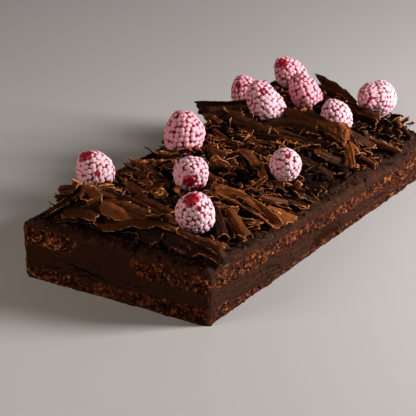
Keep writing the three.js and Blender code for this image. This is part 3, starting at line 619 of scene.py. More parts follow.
# ---- The cut sides ----
def crumb_relief(walked, z, size, seed):
    """Crumbs one to a cell: lumps of random height with steep sides, a quarter fallen out as pits.

    The second result is how much painted light each one's face takes: little on most, and none in a hollow.
    """
    away, own = cells(walked / size, z / (0.85 * size), seed)
    lump = np.clip(1.25 - 1.9 * away**2, 0, 1)
    return np.where(own < 0.26, -1.0 * lump, (0.2 + 0.8 * own) * lump), own**2.5 * step(0.15, 0.7, lump)


def crack_depth(plan, z):
    """How deep the sides are cracked: each crack is a bell across its line, and fades out at its ends."""
    depth = np.zeros_like(z)
    spans = np.array([plan.length, plan.width, plan.length, plan.width])[plan.side]
    along = plan.share * spans
    for side, start, low, end, high, half_width, deep in CRACKS:
        share = (along - start) / (end - start)
        line = mix(low, high, share) + 0.7 * noise(along / 3.2, start, 51)
        inside = (plan.side == side) & (share > 0) & (share < 1)
        fade = np.where(inside, np.sin(np.pi * np.clip(share, 0, 1)) ** 0.6, 0)
        depth = depth + deep * fade * np.exp(-(((z - line) / half_width) ** 2))
    return depth


def smeared(plan, drift):
    """How far the near end is smeared smooth: over one stretch of it, with soft ends."""
    soft, place = SMEAR["soft"], plan.share + drift
    begun, ended = (step(SMEAR[end] - soft, SMEAR[end] + soft, place) for end in ("from", "to"))
    return (plan.side == NEAR) * begun * (1 - ended)


def crumbliness(plan, z, share, level, height):
    """How crumbly a cut side is, and how close it is to the near right corner, both from 0 to 1.

    It is less crumbly along its edges, at that corner and where it is smeared.
    """
    walked = np.broadcast_to(plan.walked, z.shape)
    drift = 0.05 * noise(walked / 9, z / 5, 61)
    corner = step(6, 2, np.minimum(plan.walked, plan.walked[-1] - plan.walked))
    if level == MOUSSE:
        crumbled = (plan.side == RIGHT) * step(*CRUMBLED, plan.share * plan.length)
        unseen = np.isin(plan.side, (FAR, LEFT)) * step(0.35, 0.6, noise(walked / 26, z / 8, 62))
        torn = 0.55 * (plan.side == RIGHT) * step(0.25, 0.75, noise(walked / 9 + 0.4 * z, z / 3.2, 66))
        rough = np.maximum(np.maximum(crumbled, unseen) * 0.9, np.maximum(torn, 0.06))
    else:
        rough = np.ones_like(z)
    patchy = 0.65 + 0.35 * noise(walked / 12, z / 6, 63)
    even = 1 - 0.93 * ((0.6 if level == SPONGE_BASE else 1.0) * smeared(plan, drift))
    edge = 0.3 + 0.7 * step(0, 1.2, np.minimum(share, 1 - share) * height)
    rough = rough * patchy * even * (1 - 0.55 * corner) * edge
    if level == SPONGE_TOP:
        start = (plan.side == NEAR) & (plan.share < 0.3)
        rough = rough * np.where(start, step(0.12, 0.5, share + drift), 1)
    return rough, corner


def cut_relief(plan, z, share, level, height):
    """How far the cut side stands out, how crumbly it is there, and the painted light on its crumbs.

    It stands out by its crumbs where it is crumbly and by the knife's streaks where it is not, less
    the depth of its cracks.
    """
    walked = np.broadcast_to(plan.walked, z.shape)
    rough, corner = crumbliness(plan, z, share, level, height)
    warp = 0.5 * noise(walked / 2.1, z / 1.7, 64)
    coarse, bright = crumb_relief(walked + warp, z + warp, 2.3, 65)
    fine, glint = crumb_relief(walked + 0.4 * warp, z, 1.2, 68)
    streaks = octaves(walked, z, (0.16, 14, 0.9, 71), (0.16, 5, 1.6, 72), (0.07, 1.7, 1.3, 73))
    streaks = streaks + 0.35 * corner * noise(walked / 1.3, z / 4, 74)
    streaks = streaks - 0.8 * (step(0.55, 0.9, noise(walked / 3.1, z / 1.8, 75)) * (plan.side == RIGHT))
    move = rough * (0.6 * coarse + 0.5 * fine) + (1 - rough) * streaks - crack_depth(plan, z)
    shine = np.clip(0.45 * bright + glint * (0.4 + 0.6 * bright), 0, 1)
    # Painted light on the crumbs: on the near end strong at the left and weak at the right, a middling share
    # on the other sides, and half as much on the base sponge.
    lit = np.where(plan.side == NEAR, mix(2.0, 0.7, plan.share), 0.85)
    lit = lit * (0.5 if level == SPONGE_BASE else 1.0)
    return move, rough, np.clip(shine * lit, 0, 1.7)


def layer_surface(plan, level, rows, lift):
    """A layer from the middle of its lower interface out, up its cut side and in again on top."""
    low_insets = (0,) if level == SPONGE_BASE else (8, 0)
    high_insets = (0, 9, SLOPE_IN) if level == SPONGE_TOP else (0, 8)
    low = [plan.interface(level, inset, 0 if level == SPONGE_BASE else lift) for inset in low_insets]
    high = [plan.interface(level + 1, inset, -lift) for inset in high_insets]
    share = (np.arange(1, rows) / rows)[:, None]
    z = mix(low[-1][:, 2], high[0][:, 2], share)
    relief, rough, shine = cut_relief(plan, z, share, level, high[0][:, 2] - low[-1][:, 2])
    hollow_share = (0.5 * share**2 + 0.5 * step(0.85, 1, share), 1 - share, 0 * share)[level]
    rings = np.concatenate([low, plan.side_rings(z, relief, plan.hollow() * hollow_share), high])
    pad = ((len(low), len(high)), (0, 0))
    numbers = {
        "rough": with_ends(np.pad(rough, pad, mode="edge")),
        "shine": with_ends(np.pad(shine, pad)),
        "relief": with_ends(np.pad(relief, pad)),
    }
    return closed_stack(rings), numbers


def ganache_surface(plan, lift):
    """The ganache: up its cut side, round an elliptical shoulder and over its dimpled top to the middle."""
    low = [plan.interface(GANACHE, inset, lift) for inset in (SLOPE_IN, 9, 0)]
    brow = plan.interface(TOP, 0, -SHOULDER["down"])
    rows = 7
    z = mix(low[-1][:, 2], brow[:, 2], (np.arange(1, rows) / rows)[:, None])
    streaks = octaves(np.broadcast_to(plan.walked, z.shape), z, (0.16, 11, 1.1, 81), (0.14, 3, 2, 82))
    side = plan.side_rings(z, streaks)
    angles = np.radians(np.linspace(0, 90, 9))
    insets = (*np.arange(5.6, 15, 0.6), 19, SLOPE_IN)
    reach, down = SHOULDER["in"], SHOULDER["down"]
    upper = np.stack([
        *(plan.interface(TOP, reach * (1 - math.cos(a)), down * (math.sin(a) - 1)) for a in angles),
        *(plan.interface(TOP, inset, 0) for inset in insets),
    ])
    px, py = upper[..., 0], upper[..., 1]
    away, own = cells(px / 2.6, py / 2.6, 83)
    pits = np.where(own < 0.22, 1 - 1.6 * away**2, 0).clip(0, 1)
    dimples = octaves(px, py, (0.38, 4.2, 4.2, 84), (0.22, 1.5, 1.5, 85)) - 0.7 * pits
    inward = np.array([*np.sin(angles) ** 2, *np.ones(len(insets))])[:, None]
    fade = np.array([*np.ones(len(upper) - 2), 0, 0])[:, None]
    upper[..., 2] += dimples * inward * fade
    outward = (0.16 * noise(px / 3, upper[..., 2] / 2, 86) * (1 - inward))[..., None]
    upper[..., :2] += outward * np.stack(plan.out, axis=-1)
    stations = len(plan.walked)
    relief = np.concatenate([np.zeros((len(low), stations)), streaks, dimples * fade])
    wall = [*np.ones(len(low) + len(side)), *(1 - np.sin(angles)), *np.zeros(len(insets))]
    numbers = {"relief": with_ends(relief), "side": with_ends(np.repeat(wall, stations))}
    return closed_stack(np.concatenate([low, side, upper])), numbers


# ---- The heap's core ----
def core_surface(plan, spacing):
    """The core: its top as a grid over the plan, its wall, and an underside closed to one middle point."""
    half_x, half_y = plan.length / 2 - plan.heap_inset, plan.width / 2 - plan.heap_inset
    across, along = round(2 * half_y / spacing), round(2 * half_x / spacing)
    u, v = np.meshgrid(np.linspace(-1, 1, along + 1), np.linspace(-1, 1, across + 1))
    border = np.minimum((1 - np.abs(u)) * half_x, (1 - np.abs(v)) * half_y)
    ragged = 1.6 * noise(half_x * u / 5, half_y * v / 5, 91) * step(3, 0, border)
    x = half_x * u + np.where(np.abs(u) > np.abs(v), np.sign(u) * ragged, 0)
    y = half_y * v + np.where(np.abs(v) >= np.abs(u), np.sign(v) * ragged, 0)
    x = x + plan.slant(x, y)
    shreds = 2.0 * ridges(x / 2.3, y / 7, 92) + 1.6 * ridges((x + y) / 2, (x - y) / 8, 94) - 4.4
    z = plan.core(x, y) + shreds * step(0, 3, border) - 0.6
    grid = np.stack([x, y, z], axis=-1)
    rows, columns = z.shape
    index = np.arange(rows * columns).reshape(rows, columns)
    quads = np.stack([index[:-1, :-1], index[:-1, 1:], index[1:, 1:], index[1:, :-1]], axis=-1).reshape(-1, 4)
    rim = np.concatenate([index[0, :-1], index[:-1, -1], index[-1, :0:-1], index[:0:-1, 0]])
    foot = grid.reshape(-1, 3)[rim]
    foot[:, 2] = plan.top(foot[:, 0], foot[:, 1]) - 1.5
    first = rows * columns
    k = np.arange(len(rim))
    ahead = (k + 1) % len(rim)
    wall = np.stack([first + k, first + ahead, rim[ahead], rim[k]], axis=-1)
    middle = np.array([[0.0, 0.0, LEVELS[TOP] - 3]])
    fan = np.stack([np.full(len(rim), first + len(rim)), first + ahead, first + k], axis=-1)
    points = np.concatenate([grid.reshape(-1, 3), foot, middle])
    return points, np.concatenate([quads, wall]), fan


# ---- The raspberries ----
def berry_radius(width, t):
    """A berry's radius at a share of its length: widest at 0.4, a flattened ellipse to the tip."""
    widest = 0.4
    tip_side = np.sqrt(np.maximum(0, 1 - ((t - widest) / (1 - widest)) ** 2)) ** 0.9
    open_side = 1 - 0.2 * ((widest - t) / widest) ** 2
    return width / 2 * np.where(t > widest, tip_side, open_side)


def heading(compass, up):
    """The unit vector at a compass angle from +X towards +Y and an angle up, in degrees."""
    a, b = math.radians(compass), math.radians(up)
    return Vector((math.cos(b) * math.cos(a), math.cos(b) * math.sin(a), math.sin(b)))


def berry_frame(plan, berry):
    """The tip's direction, the turn that brings +Z there, and the middle, high enough to rest."""
    x, y, width, length, compass, up = berry[:6]
    tip = heading(compass, up)
    level = math.cos(math.radians(up))
    shares = np.array([0, 0.1, 0.2, 0.4, 0.6, 0.8])
    lows = (shares - 0.5) * length * math.sin(math.radians(up)) - berry_radius(width, shares) * level
    z = float(plan.core(np.array(float(x)), np.array(float(y)))) - BERRY_SUNK - lows.min()
    turn = Vector((0, 0, 1)).rotation_difference(tip).to_matrix()
    return tip, turn, Vector((x, y, z))


def in_berries(plan, points, clearance=BERRY_CLEARANCE):
    """Whether each point is within the ellipsoid that any of the berries needs."""
    inside = np.zeros(points.shape[:-1], dtype=bool)
    for berry in BERRIES:
        tip, _, middle = berry_frame(plan, berry)
        away = points - np.array(middle)
        high = away @ np.array(tip)
        out = np.sqrt(np.maximum(0, (away**2).sum(axis=-1) - high**2))
        reach = (high / (berry[3] / 2 + clearance)) ** 2 + (out / (berry[2] / 2 + clearance)) ** 2
        inside |= reach < 1
    return inside


def drupelet_centres(width, length, size, seed):
    """Drupelets in rings from the open end to the tip, each ring turned half a drupelet, all jittered."""
    t = np.linspace(0, 0.995, 200)
    radius, height = berry_radius(width, t), (t - 0.5) * length
    path = np.concatenate([[0], np.cumsum(np.hypot(np.diff(radius), np.diff(height)))])
    rows = round(path[-1] / (DRUPELET["pitch"] * size))
    centres = []
    for row in range(rows + 1):
        r = np.interp(path[-1] * row / rows, path, radius)
        z = np.interp(path[-1] * row / rows, path, height)
        count = max(1, round(2 * math.pi * r / size))
        k = np.arange(count)
        phase = 0.5 * (row % 2) + 0.5 * (hashed(row, 7, seed) - 0.5)
        angle = 2 * np.pi * (k + phase + 0.34 * (hashed(k, row, seed) - 0.5)) / count
        lift = 0.36 * size * (hashed(k, row, seed + 1) - 0.5)
        centres.append(np.stack([r * np.cos(angle), r * np.sin(angle), z + lift], axis=-1))
    return np.concatenate(centres)


def berry_profile(width, length, rows):
    """A berry's profile, from the hollow's floor over the rim to the tip, with both ends on its axis."""
    t = np.linspace(0, 1, rows + 1)
    narrowed = 1 - 0.13 * step(0.35, 1.0, t)
    radius, height = BERRY_BODY[0] * narrowed * berry_radius(width, t), (t - 0.5) * length * BERRY_BODY[1]
    rim_radius, wall = radius[0], 0.24 * width
    inner = np.array([
        [0.0, 0.02],
        [0.45 * (rim_radius - wall), 0.03],
        [0.9 * (rim_radius - wall), -0.12],
        [rim_radius - wall, -0.34],
        [rim_radius - 0.6 * wall, -0.47],
        [rim_radius - 0.25 * wall, -0.505],
    ])
    inner[:, 1] *= length
    return np.concatenate([inner, np.stack([radius, height], axis=-1)])


def turned(profile, columns):
    """A profile of radii and heights, turned about its axis."""
    angle = 2 * np.pi * np.arange(columns) / columns
    across, height = profile[:, :1], np.broadcast_to(profile[:, 1:], (len(profile), columns))
    return np.stack([across * np.cos(angle), across * np.sin(angle), height], axis=-1).reshape(-1, 3)


def bare_patches(out, own, bare, seed):
    """Where the frost is rubbed off: round the named directions, with whole drupelets in or out."""
    patch = np.zeros(len(out))
    for compass, up, spread in bare:
        off = np.degrees(np.arccos(np.clip(out @ np.array(heading(compass, up)), -1, 1)))
        wobble = 0.35 * spread * (hashed(own, 1, seed) - 0.5)
        patch = np.maximum(patch, step(1.15 * spread, 0.7 * spread, off + wobble))
    return patch


def berry_surface(plan, berry, seed, columns, rows):
    """A berry: its profile turned about its axis, closed at both ends, under its drupelets.

    Its outside stands out as a dome over each drupelet: the drupelet's reach squared, less the distance
    from its middle squared, under a root.
    """
    _, _, width, length, _, _, bare, pink, waist = berry
    _, turn, middle = berry_frame(plan, berry)
    size = DRUPELET["size"] + DRUPELET["growth"] * (width - 20)
    whole = berry_profile(width, length, rows)
    profile = whole[1:-1]
    flat = np.concatenate([turned(profile, columns), [[0, 0, whole[0, 1]], [0, 0, whole[-1, 1]]]])
    centres = drupelet_centres(width * BERRY_BODY[0], length * BERRY_BODY[1], size, seed)
    gaps = np.sqrt(((flat[:, None, :] - centres[None, :, :]) ** 2).sum(axis=-1))
    own = gaps.argmin(axis=1)
    nearest = gaps[np.arange(len(flat)), own]
    random = hashed(own, 0, seed + 3)
    dome = np.sqrt(np.clip(1 - (nearest / (DRUPELET["reach"] * size * (0.94 + 0.12 * random))) ** 2, 0, 1))
    along = np.gradient(profile, axis=0)
    along /= np.linalg.norm(along, axis=1, keepdims=True)
    normal = np.concatenate([turned(along[:, ::-1] * (1, -1), columns), [[0, 0, -1], [0, 0, 1]]])
    rim = np.repeat(step(0, 1, np.array([0, 0, 0, 0.15, 0.7])), columns)
    outside = np.concatenate([rim, np.ones((len(profile) - 5) * columns), [0, 1]])
    low = 0.045 * width * noise(np.arctan2(flat[:, 1], flat[:, 0]) * 1.2 + 3, flat[:, 2] / 9, seed + 5)
    grit = 0.05 * noise(flat[:, 0] * 2.3 + flat[:, 2], flat[:, 1] * 2.3 - flat[:, 2], seed + 6)
    dome = DRUPELET["rise"] * dome * (0.85 + 0.3 * random)
    height = outside * (dome - DRUPELET["groove"] + low * 0.6 + grit)
    points = (flat + normal * height[:, None]) @ np.array(turn).T
    if waist:
        across = points @ np.array(heading(waist[0], 0)) / (width / 2)
        points = points * (1 - waist[2] * np.exp(-(((across - waist[1]) / 0.3) ** 2)))[:, None]
    points = points + np.array(middle)
    out = points - np.array(middle)
    out /= np.linalg.norm(out, axis=1, keepdims=True)
    crest = np.clip(1 - (nearest / (DRUPELET["crown"] * size)) ** 2, 0, 1) * outside
    mottled = 0.28 * noise(flat[:, 0] / 1.1, flat[:, 1] / 1.1 + flat[:, 2], seed + 7)
    frosted = step(0.07, 0.46, crest + mottled)
    numbers = {
        "frost": frosted * (1 - bare_patches(out, own, bare, seed + 8)) * np.clip(outside, 0.15, 1),
        "crest": crest,
        # pinker on the side away from the key light: painted shade
        "pink": np.full(len(points), pink) + 0.3 * step(0.2, -0.9, out @ np.array(KEY_LIGHT_SIDE)),
    }
    return (points, *stack_faces(len(profile), columns)), numbers


# ---- The shavings ----
class Strips:
    """Many shavings at once, as arrays: the axes' ends, and the numbers that shape their sections.

    A strip turns evenly over its width, or faster towards one edge: its heading at a share s of the
    width, from -0.5 to 0.5, is roll + turn * (s + 2 * bias * (s squared - 1/12)), and its section is the
    sum of steps at that heading.
    """

    def __init__(self, rows, seed):
        rows = np.asarray(rows, dtype=float)
        self.start, self.end = rows[:, 0:3].copy(), rows[:, 3:6].copy()
        self.width, self.turn, self.roll, self.bias, self.taper, self.bow, self.rest = rows[:, 6:13].T
        self.first, self.last = np.zeros(len(rows)), np.ones(len(rows))
        self.number = np.arange(len(rows)) + 1000.0 * seed
        self.tone = hashed(self.number, 3, 9) ** 1.6
        # Given tones are painted light and shade; the others are left to chance.
        if rows.shape[1] > 13:
            self.tone = np.where(rows[:, 13] < 0, self.tone, rows[:, 13])

    def keep(self, mask):
        """Only the strips that the mask names."""
        for name, values in vars(self).items():
            setattr(self, name, values[mask])

    def length(self):
        """The lengths of the axes."""
        return np.linalg.norm(self.end - self.start, axis=1)

    def each(self, *names):
        """The named numbers, each with one value a strip, shaped to meet a grid on every strip."""
        return (getattr(self, name).reshape(-1, 1, 1) for name in names)

    def points(self, t, s, offset, twist=0.0, liveliness=0.0):
        """Points at shares t of the axis and s of the width, off the middle surface by an offset."""
        axis = self.end - self.start
        direction = axis / np.linalg.norm(axis, axis=1, keepdims=True)
        side = np.cross(direction, [0.0, 0.0, 1.0])
        side /= np.linalg.norm(side, axis=1, keepdims=True)
        upward = np.cross(side, direction)
        width, turn, roll, bias, taper, bow = self.each("width", "turn", "roll", "bias", "taper", "bow")
        number, = self.each("number")
        middle_t = t.mean(axis=2, keepdims=True)
        turn = np.radians(turn) * (1 + liveliness * 0.35 * noise(2.5 * middle_t, number, 3))
        astray = liveliness * 0.35 * noise(3 * middle_t, number, 4)
        roll = np.radians(roll) + twist * (middle_t - 0.5) + astray
        table = np.linspace(-WIDEST, WIDEST, 57)
        gap = table[1] - table[0]
        middles = (table[1:] + table[:-1]) / 2
        angle = roll + turn * (middles + 2 * bias * (middles**2 - 1 / 12))
        sums = [np.cumsum(f(angle), axis=2) * gap for f in (np.cos, np.sin)]
        p, q = (np.pad(total, ((0, 0), (0, 0), (1, 0))) for total in sums)
        inside = np.abs(table) <= 0.5
        p, q = p - p[..., inside].mean(axis=2, keepdims=True), q - q[..., inside].mean(axis=2, keepdims=True)
        place = np.clip((s + WIDEST) / gap, 0, len(table) - 1.001)
        index = place.astype(int)
        share = place - index
        p, q = (
            mix(np.take_along_axis(v, index, axis=2), np.take_along_axis(v, index + 1, axis=2), share)
            for v in (p, q)
        )
        angle = roll + turn * (s + 2 * bias * (s**2 - 1 / 12))
        scale = width * (1 + taper * (t - 0.5))
        out_p, out_q = -np.sin(angle) * offset, np.cos(angle) * offset
        rise = bow * np.sin(np.pi * np.clip(t, 0, 1))
        start, axis = self.start[:, None, None, :], axis[:, None, None, :]
        side, upward = side[:, None, None, :], upward[:, None, None, :]
        return (
            start
            + axis * t[..., None]
            + side * (scale * p + out_p)[..., None]
            + upward * (scale * q + out_q + rise)[..., None]
        )

    def coarse(self, first, last, steps, thickness):
        """Both faces of each strip between two shares of its axis, at a few points."""
        shape = (len(self.width), steps + 1, steps + 1)
        t = np.broadcast_to(np.linspace(first, last, steps + 1)[None, :, None], shape)
        s = np.broadcast_to(np.linspace(-0.5, 0.5, steps + 1)[None, None, :], shape)
        faces = [self.points(t, s, face * thickness) for face in (0.5, -0.5)]
        return np.concatenate([face.reshape(len(self.width), -1, 3) for face in faces], axis=1)

    def settle(self, surface, sunk):
        """Lets each strip down, or raises it, until its lowest point is just inside a surface."""
        over = self.coarse(0, 1, 4, ROUGH_THICKNESS)
        clearance = (over[..., 2] - surface(over[..., 0], over[..., 1])).min(axis=1)
        drop = clearance + sunk - self.rest
        self.start[:, 2] -= drop
        self.end[:, 2] -= drop

    def shorten(self, plan):
        """Shortens each strip at one end until it is clear of the berries, and drops what never is."""
        done = np.zeros(len(self.width), dtype=bool)
        for cut in (0, 0.12, 0.24, 0.36, 0.48, 0.6):
            for first, last in (((0, 1 - cut), (cut, 1)) if cut else ((0, 1),)):
                clear = ~in_berries(plan, self.coarse(first, last, 6, ROUGH_THICKNESS)).any(axis=1)
                now = clear & ~done
                self.first[now], self.last[now] = first, last
                done |= clear
        self.keep(done)

    def surface(self, plan, rows, columns, thickness, torn, twist, liveliness):
        """The strips as closed sheets: an outer and an inner face that meet along torn edges.

        The grid's ends and long edges are moved in by noise, and the sheet thins out towards them.
        """
        number, width, first, last, tone = self.each("number", "width", "first", "last", "tone")
        length = self.length().reshape(-1, 1, 1)
        u = closer_at_ends(columns, 0.5)[None, None, :]
        r = closer_at_ends(rows, 0.35)[None, :, None]
        across = u * width
        skewed = 3.2 * (u - 0.5)
        near = teeth(across, number, (1.3, 2.9), (0.5, 1.0), 5) + skewed * (hashed(number, 0, 9) - 0.5)
        far = teeth(across, number, (1.3, 2.5), (0.5, 0.9), 7) + skewed * (hashed(number, 1, 9) - 0.5)
        t = mix(first + torn * near / length, last - torn * far / length, r)
        along = t * length
        low = teeth(along, number, (0.9, 3.6), (0.35, 1.2), 10)
        high = teeth(along, number, (0.9, 3.2), (0.35, 1.1), 12)
        pointed = 1 - 0.55 * hashed(number, 2, 9) * np.abs(2 * r - 1) ** 3
        s = mix(-0.5 * pointed + torn * low / width, 0.5 * pointed - torn * high / width, u)
        inset = np.minimum(np.minimum(u, 1 - u) * width, np.minimum(r, 1 - r) * (last - first) * length)
        inset = np.broadcast_to(inset, s.shape)
        uneven = 1 + 0.3 * noise(along / 4, across / 2 + number, 14)
        thick = thickness * (0.45 + 0.55 * step(0, 1.4, inset)) * uneven
        waver = 0.3 * noise(along / 9, number, 15)
        ripple = 0.19 * noise(across / 1.6 + waver, number, 16)
        ripple = ripple + 0.07 * noise(across / 0.62 + waver, number, 18)
        broad = 0.45 * noise(along / 5.5, across / 4.5 + number, 17)
        small = 0.16 * noise(along / 1.9, across / 1.9 + number, 19)
        buckle = liveliness * torn * (broad + small)
        t = np.broadcast_to(t, s.shape)
        faces = [self.points(t, s, face * thick + ripple + buckle, twist, liveliness) for face in (0.5, -0.5)]
        loop = both_faces(*faces, axis=-2)
        flat = loop.reshape(-1, 3)
        starts = np.arange(len(loop)) * loop.shape[1] * loop.shape[2]
        quads = (sheet_quads(rows, columns) + starts[:, None, None]).reshape(-1, 4)
        tone = np.broadcast_to(tone, s.shape)
        numbers = {
            "edge": both_faces(edge_highlight_share(inset, along, across, number, 0.35)),
            "tone": both_faces(tone),
            "inner": both_faces(np.zeros(s.shape), np.ones(s.shape)),
            # how high a point stands over the core; pieces low in the heap are painted in shade by it
            "high": step(-1.0, 4.0, loop[..., 2] - plan.core(loop[..., 0], loop[..., 1])),
        }
        uv = np.stack([both_faces(s * width + 50 * tone), both_faces(along)], axis=-1).reshape(-1, 2)
        return flat, outward(flat, quads), numbers, uv


def closer_at_ends(steps, share):
    """Shares from 0 to 1, closer at both ends: between even ones and half a turn's cosine."""
    even = np.linspace(0, 1, steps + 1)
    return mix(even, 0.5 - 0.5 * np.cos(np.pi * even), share)


def both_faces(outer, inner=None, axis=-1):
    """A sheet's two faces as one loop: the outer face's columns, then the inner face's in reverse."""
    return np.concatenate([outer, np.flip(outer if inner is None else inner, axis)], axis=axis)


def edge_highlight_share(inset, along, across, number, least):
    """How much painted highlight a sheet takes near its edge: a bell over the way in, of a width and height
    that vary.
    """
    patchy = 0.5 + 0.5 * noise(along / 2.6, across / 2.6 + number, 20)
    return np.exp(-((inset / (0.25 + 0.75 * patchy)) ** 2)) * mix(least, 1.0, step(0.2, 0.6, patchy))


def sheet_surface(tone, back, rails, number, rows=90, columns=14, thickness=0.55):
    """A sheet through three lines, its outer edge, its crest and its back edge, as a closed surface.

    Across, it is the quadratic curve through the three lines; its ends and outer edge are torn by noise.
    """
    outer, crest = (np.array(rail) for rail in rails)
    r = np.linspace(0, 1, rows + 1)
    lines = []
    for line in (outer, crest, crest + back):
        steps = np.linalg.norm(np.diff(line, axis=0), axis=1)
        places = np.concatenate([[0], np.cumsum(steps)]) / steps.sum()
        lines.append(np.stack([np.interp(r, places, line[:, k]) for k in range(3)], axis=-1)[:, None, :])
    outer, crest, back = lines
    length = np.linalg.norm(np.diff(crest[:, 0], axis=0), axis=1).sum()
    width = np.linalg.norm(outer - crest, axis=-1) + np.linalg.norm(crest - back, axis=-1)
    r = r[:, None]
    along = r * length
    torn = teeth(along, number, (0.8, 3.1), (0.4, 1.1), 5)
    u = mix(np.clip(torn / width, 0, 0.4), 1, np.linspace(0, 1, columns + 1)[None, :] ** 1.3)
    across = u * width
    v = u[..., None]
    bend = 2 * crest - 0.5 * (outer + back)
    middle = (1 - v) ** 2 * outer + 2 * v * (1 - v) * bend + v**2 * back
    ends = 1.2 * noise(across / 1.5, number, 7) * (np.abs(2 * r - 1) ** 6)
    middle = middle + np.gradient(middle, axis=0) * (ends * rows / length)[..., None]
    normal = np.cross(np.gradient(middle, axis=1), np.gradient(middle, axis=0))
    normal /= np.linalg.norm(normal, axis=-1, keepdims=True)
    ripple = 0.5 * noise(across / 1.0 + 0.4 * noise(along / 8, number, 9), number, 10)
    ripple = ripple + 0.45 * noise(along / 6, across / 3 + number, 11)
    ripple = ripple + 0.2 * noise(along / 2, across / 1.5, 12)
    inset = np.minimum(np.minimum(u - u[:, :1], u[:, -1:] - u) * width, np.minimum(r, 1 - r) * length)
    thick = thickness * (0.4 + 0.6 * step(0, 1.2, inset))
    faces = [middle + normal * (ripple + side * thick)[..., None] for side in (0.5, -0.5)]
    flat = both_faces(*faces, axis=-2).reshape(-1, 3)
    edge = np.maximum(edge_highlight_share(inset, along, across, number, 0.5), 0.5 * step(0.86, 1.0, r))
    numbers = {
        "edge": both_faces(edge),
        "tone": np.full((rows + 1, 2 * (columns + 1)), tone),
        "inner": both_faces(np.zeros(u.shape), np.ones(u.shape)),
        # painted shade towards the sheet's back edge
        "high": both_faces(step(0, 0.35, 1 - u) * 0.9),
    }
    uv = np.stack([both_faces(across), both_faces(np.broadcast_to(along, u.shape))], axis=-1).reshape(-1, 2)
    return flat, outward(flat, sheet_quads(rows, columns)), {key: numbers[key].ravel() for key in numbers}, uv


def stacked_sheets():
    """The sheets that stand out by their lines, as one surface."""
    sheets = [sheet_surface(*sheet, k + 11) for k, sheet in enumerate(STACKED_SHEETS)]
    points, quads, numbers, uv = zip(*sheets)
    starts = np.cumsum([0] + [len(one) for one in points[:-1]])
    quads = [one + start for one, start in zip(quads, starts)]
    numbers = {key: np.concatenate([one[key] for one in numbers]) for key in numbers[0]}
    return np.concatenate(points), np.concatenate(quads), numbers, np.concatenate(uv)


def sheet_quads(rows, columns):
    """The quads of one closed sheet: its two faces as one loop of columns, and its two ends."""
    size = 2 * (columns + 1)
    k = np.arange(columns)
    ends = np.concatenate([
        np.stack([k + 1, k, size - 1 - k, size - 2 - k], axis=-1),
        np.stack([k, k + 1, size - 2 - k, size - 1 - k], axis=-1) + rows * size,
    ])
    return np.concatenate([wrapped_quads(rows + 1, size), ends])


def outward(points, quads):
    """The quads, all turned over if they enclose a negative volume."""
    a, b, c, d = (points[quads[:, k]] for k in range(4))
    volume = (np.cross(b - a, c - a) * a).sum() + (np.cross(c - a, d - a) * a).sum()
    return quads if volume > 0 else quads[:, ::-1]


def loose_shavings(plan):
    """The rest of the heap's shavings: on a jittered grid, wherever none of the shown ones lies."""
    rows, columns = LOOSE["rows"], LOOSE["columns"]
    shown = np.array(SHOWN_SHAVINGS)
    taken = (shown[:, 0:2] + shown[:, 3:5]) / 2
    made = []
    for i in range(rows):
        for j in range(columns):
            random = lambda n: float(hashed(i, j, 40 + n))
            x = (plan.length / 2 - 18) * ((2 * (i + 0.5 + 0.7 * (random(1) - 0.5))) / rows - 1)
            y = (plan.width / 2 - 14) * ((2 * (j + 0.5 + 0.7 * (random(2) - 0.5))) / columns - 1)
            if (np.hypot(taken[:, 0] - x - plan.slant(x, y), taken[:, 1] - y) < LOOSE["apart"]).any():
                continue
            compass = math.radians(-90 + 80 * (random(3) - 0.5))
            half = mix(*LOOSE["length"], random(4)) / 2
            ends = []
            for sign in (-1, 1):
                ex = x + sign * half * math.cos(compass)
                ey = min(max(y + sign * half * math.sin(compass), 5 - plan.width / 2), plan.width / 2 - 5)
                ends.append((ex + plan.slant(ex, ey), ey, 1 + 1.6 * random(6)))
            width, turn = mix(*LOOSE["width"], random(5)), -mix(*LOOSE["turn"], random(7))
            made.append(shaving(*ends, width, turn, 40 * (random(8) - 0.5)))
    return made


def laid_shavings(plan):
    """The shown and the loose shavings, landed on the core, settled and clear of the berries."""
    strips = Strips([*SHOWN_SHAVINGS, *loose_shavings(plan)], 1)
    for ends in (strips.start, strips.end):
        ends[:, 2] += plan.core(ends[:, 0], ends[:, 1])
    strips.settle(plan.core, SETTLED)
    strips.shorten(plan)
    left = strips.last - strips.first
    strips.keep((left > 0.99) | (left * strips.length() > 1.5 * strips.width))
    return strips


def nested_sheets(plan, strips, seed):
    """A second, narrower sheet in or under each shaving, turned and moved a little against it."""
    count = len(strips.width)
    k = np.arange(count)
    pick = lambda n: hashed(k, seed, n)
    rows = np.zeros((count, 13))
    slide = (pick(101) - 0.5) * 0.35
    axis = strips.end - strips.start
    shift = np.stack([2.4 * (pick(102) - 0.5), 2.4 * (pick(103) - 0.5), -0.5 - 1.1 * pick(104)], axis=-1)
    rows[:, 0:3] = strips.start + axis * slide[:, None] + shift
    rows[:, 3:6] = strips.end + axis * (slide - 0.25 * pick(105))[:, None] + shift
    rows[:, 6] = strips.width * (0.5 + 0.4 * pick(106))
    rows[:, 7] = strips.turn * (0.55 + 0.5 * pick(107))
    rows[:, 8] = strips.roll + 36 * (pick(108) - 0.5)
    rows[:, 9] = 0.5 * (pick(109) - 0.5)
    rows[:, 10] = strips.taper
    rows[:, 11] = strips.bow + 0.8 * (pick(110) - 0.3)
    open_ones = np.abs(strips.turn) < 230
    nested = Strips(rows[open_ones], 2 + seed)
    # The nested sheet takes most of its shaving's tone, and with it the painted light and shade.
    nested.tone = 0.35 * nested.tone + 0.65 * strips.tone[open_ones]
    nested.shorten(plan)
    return nested


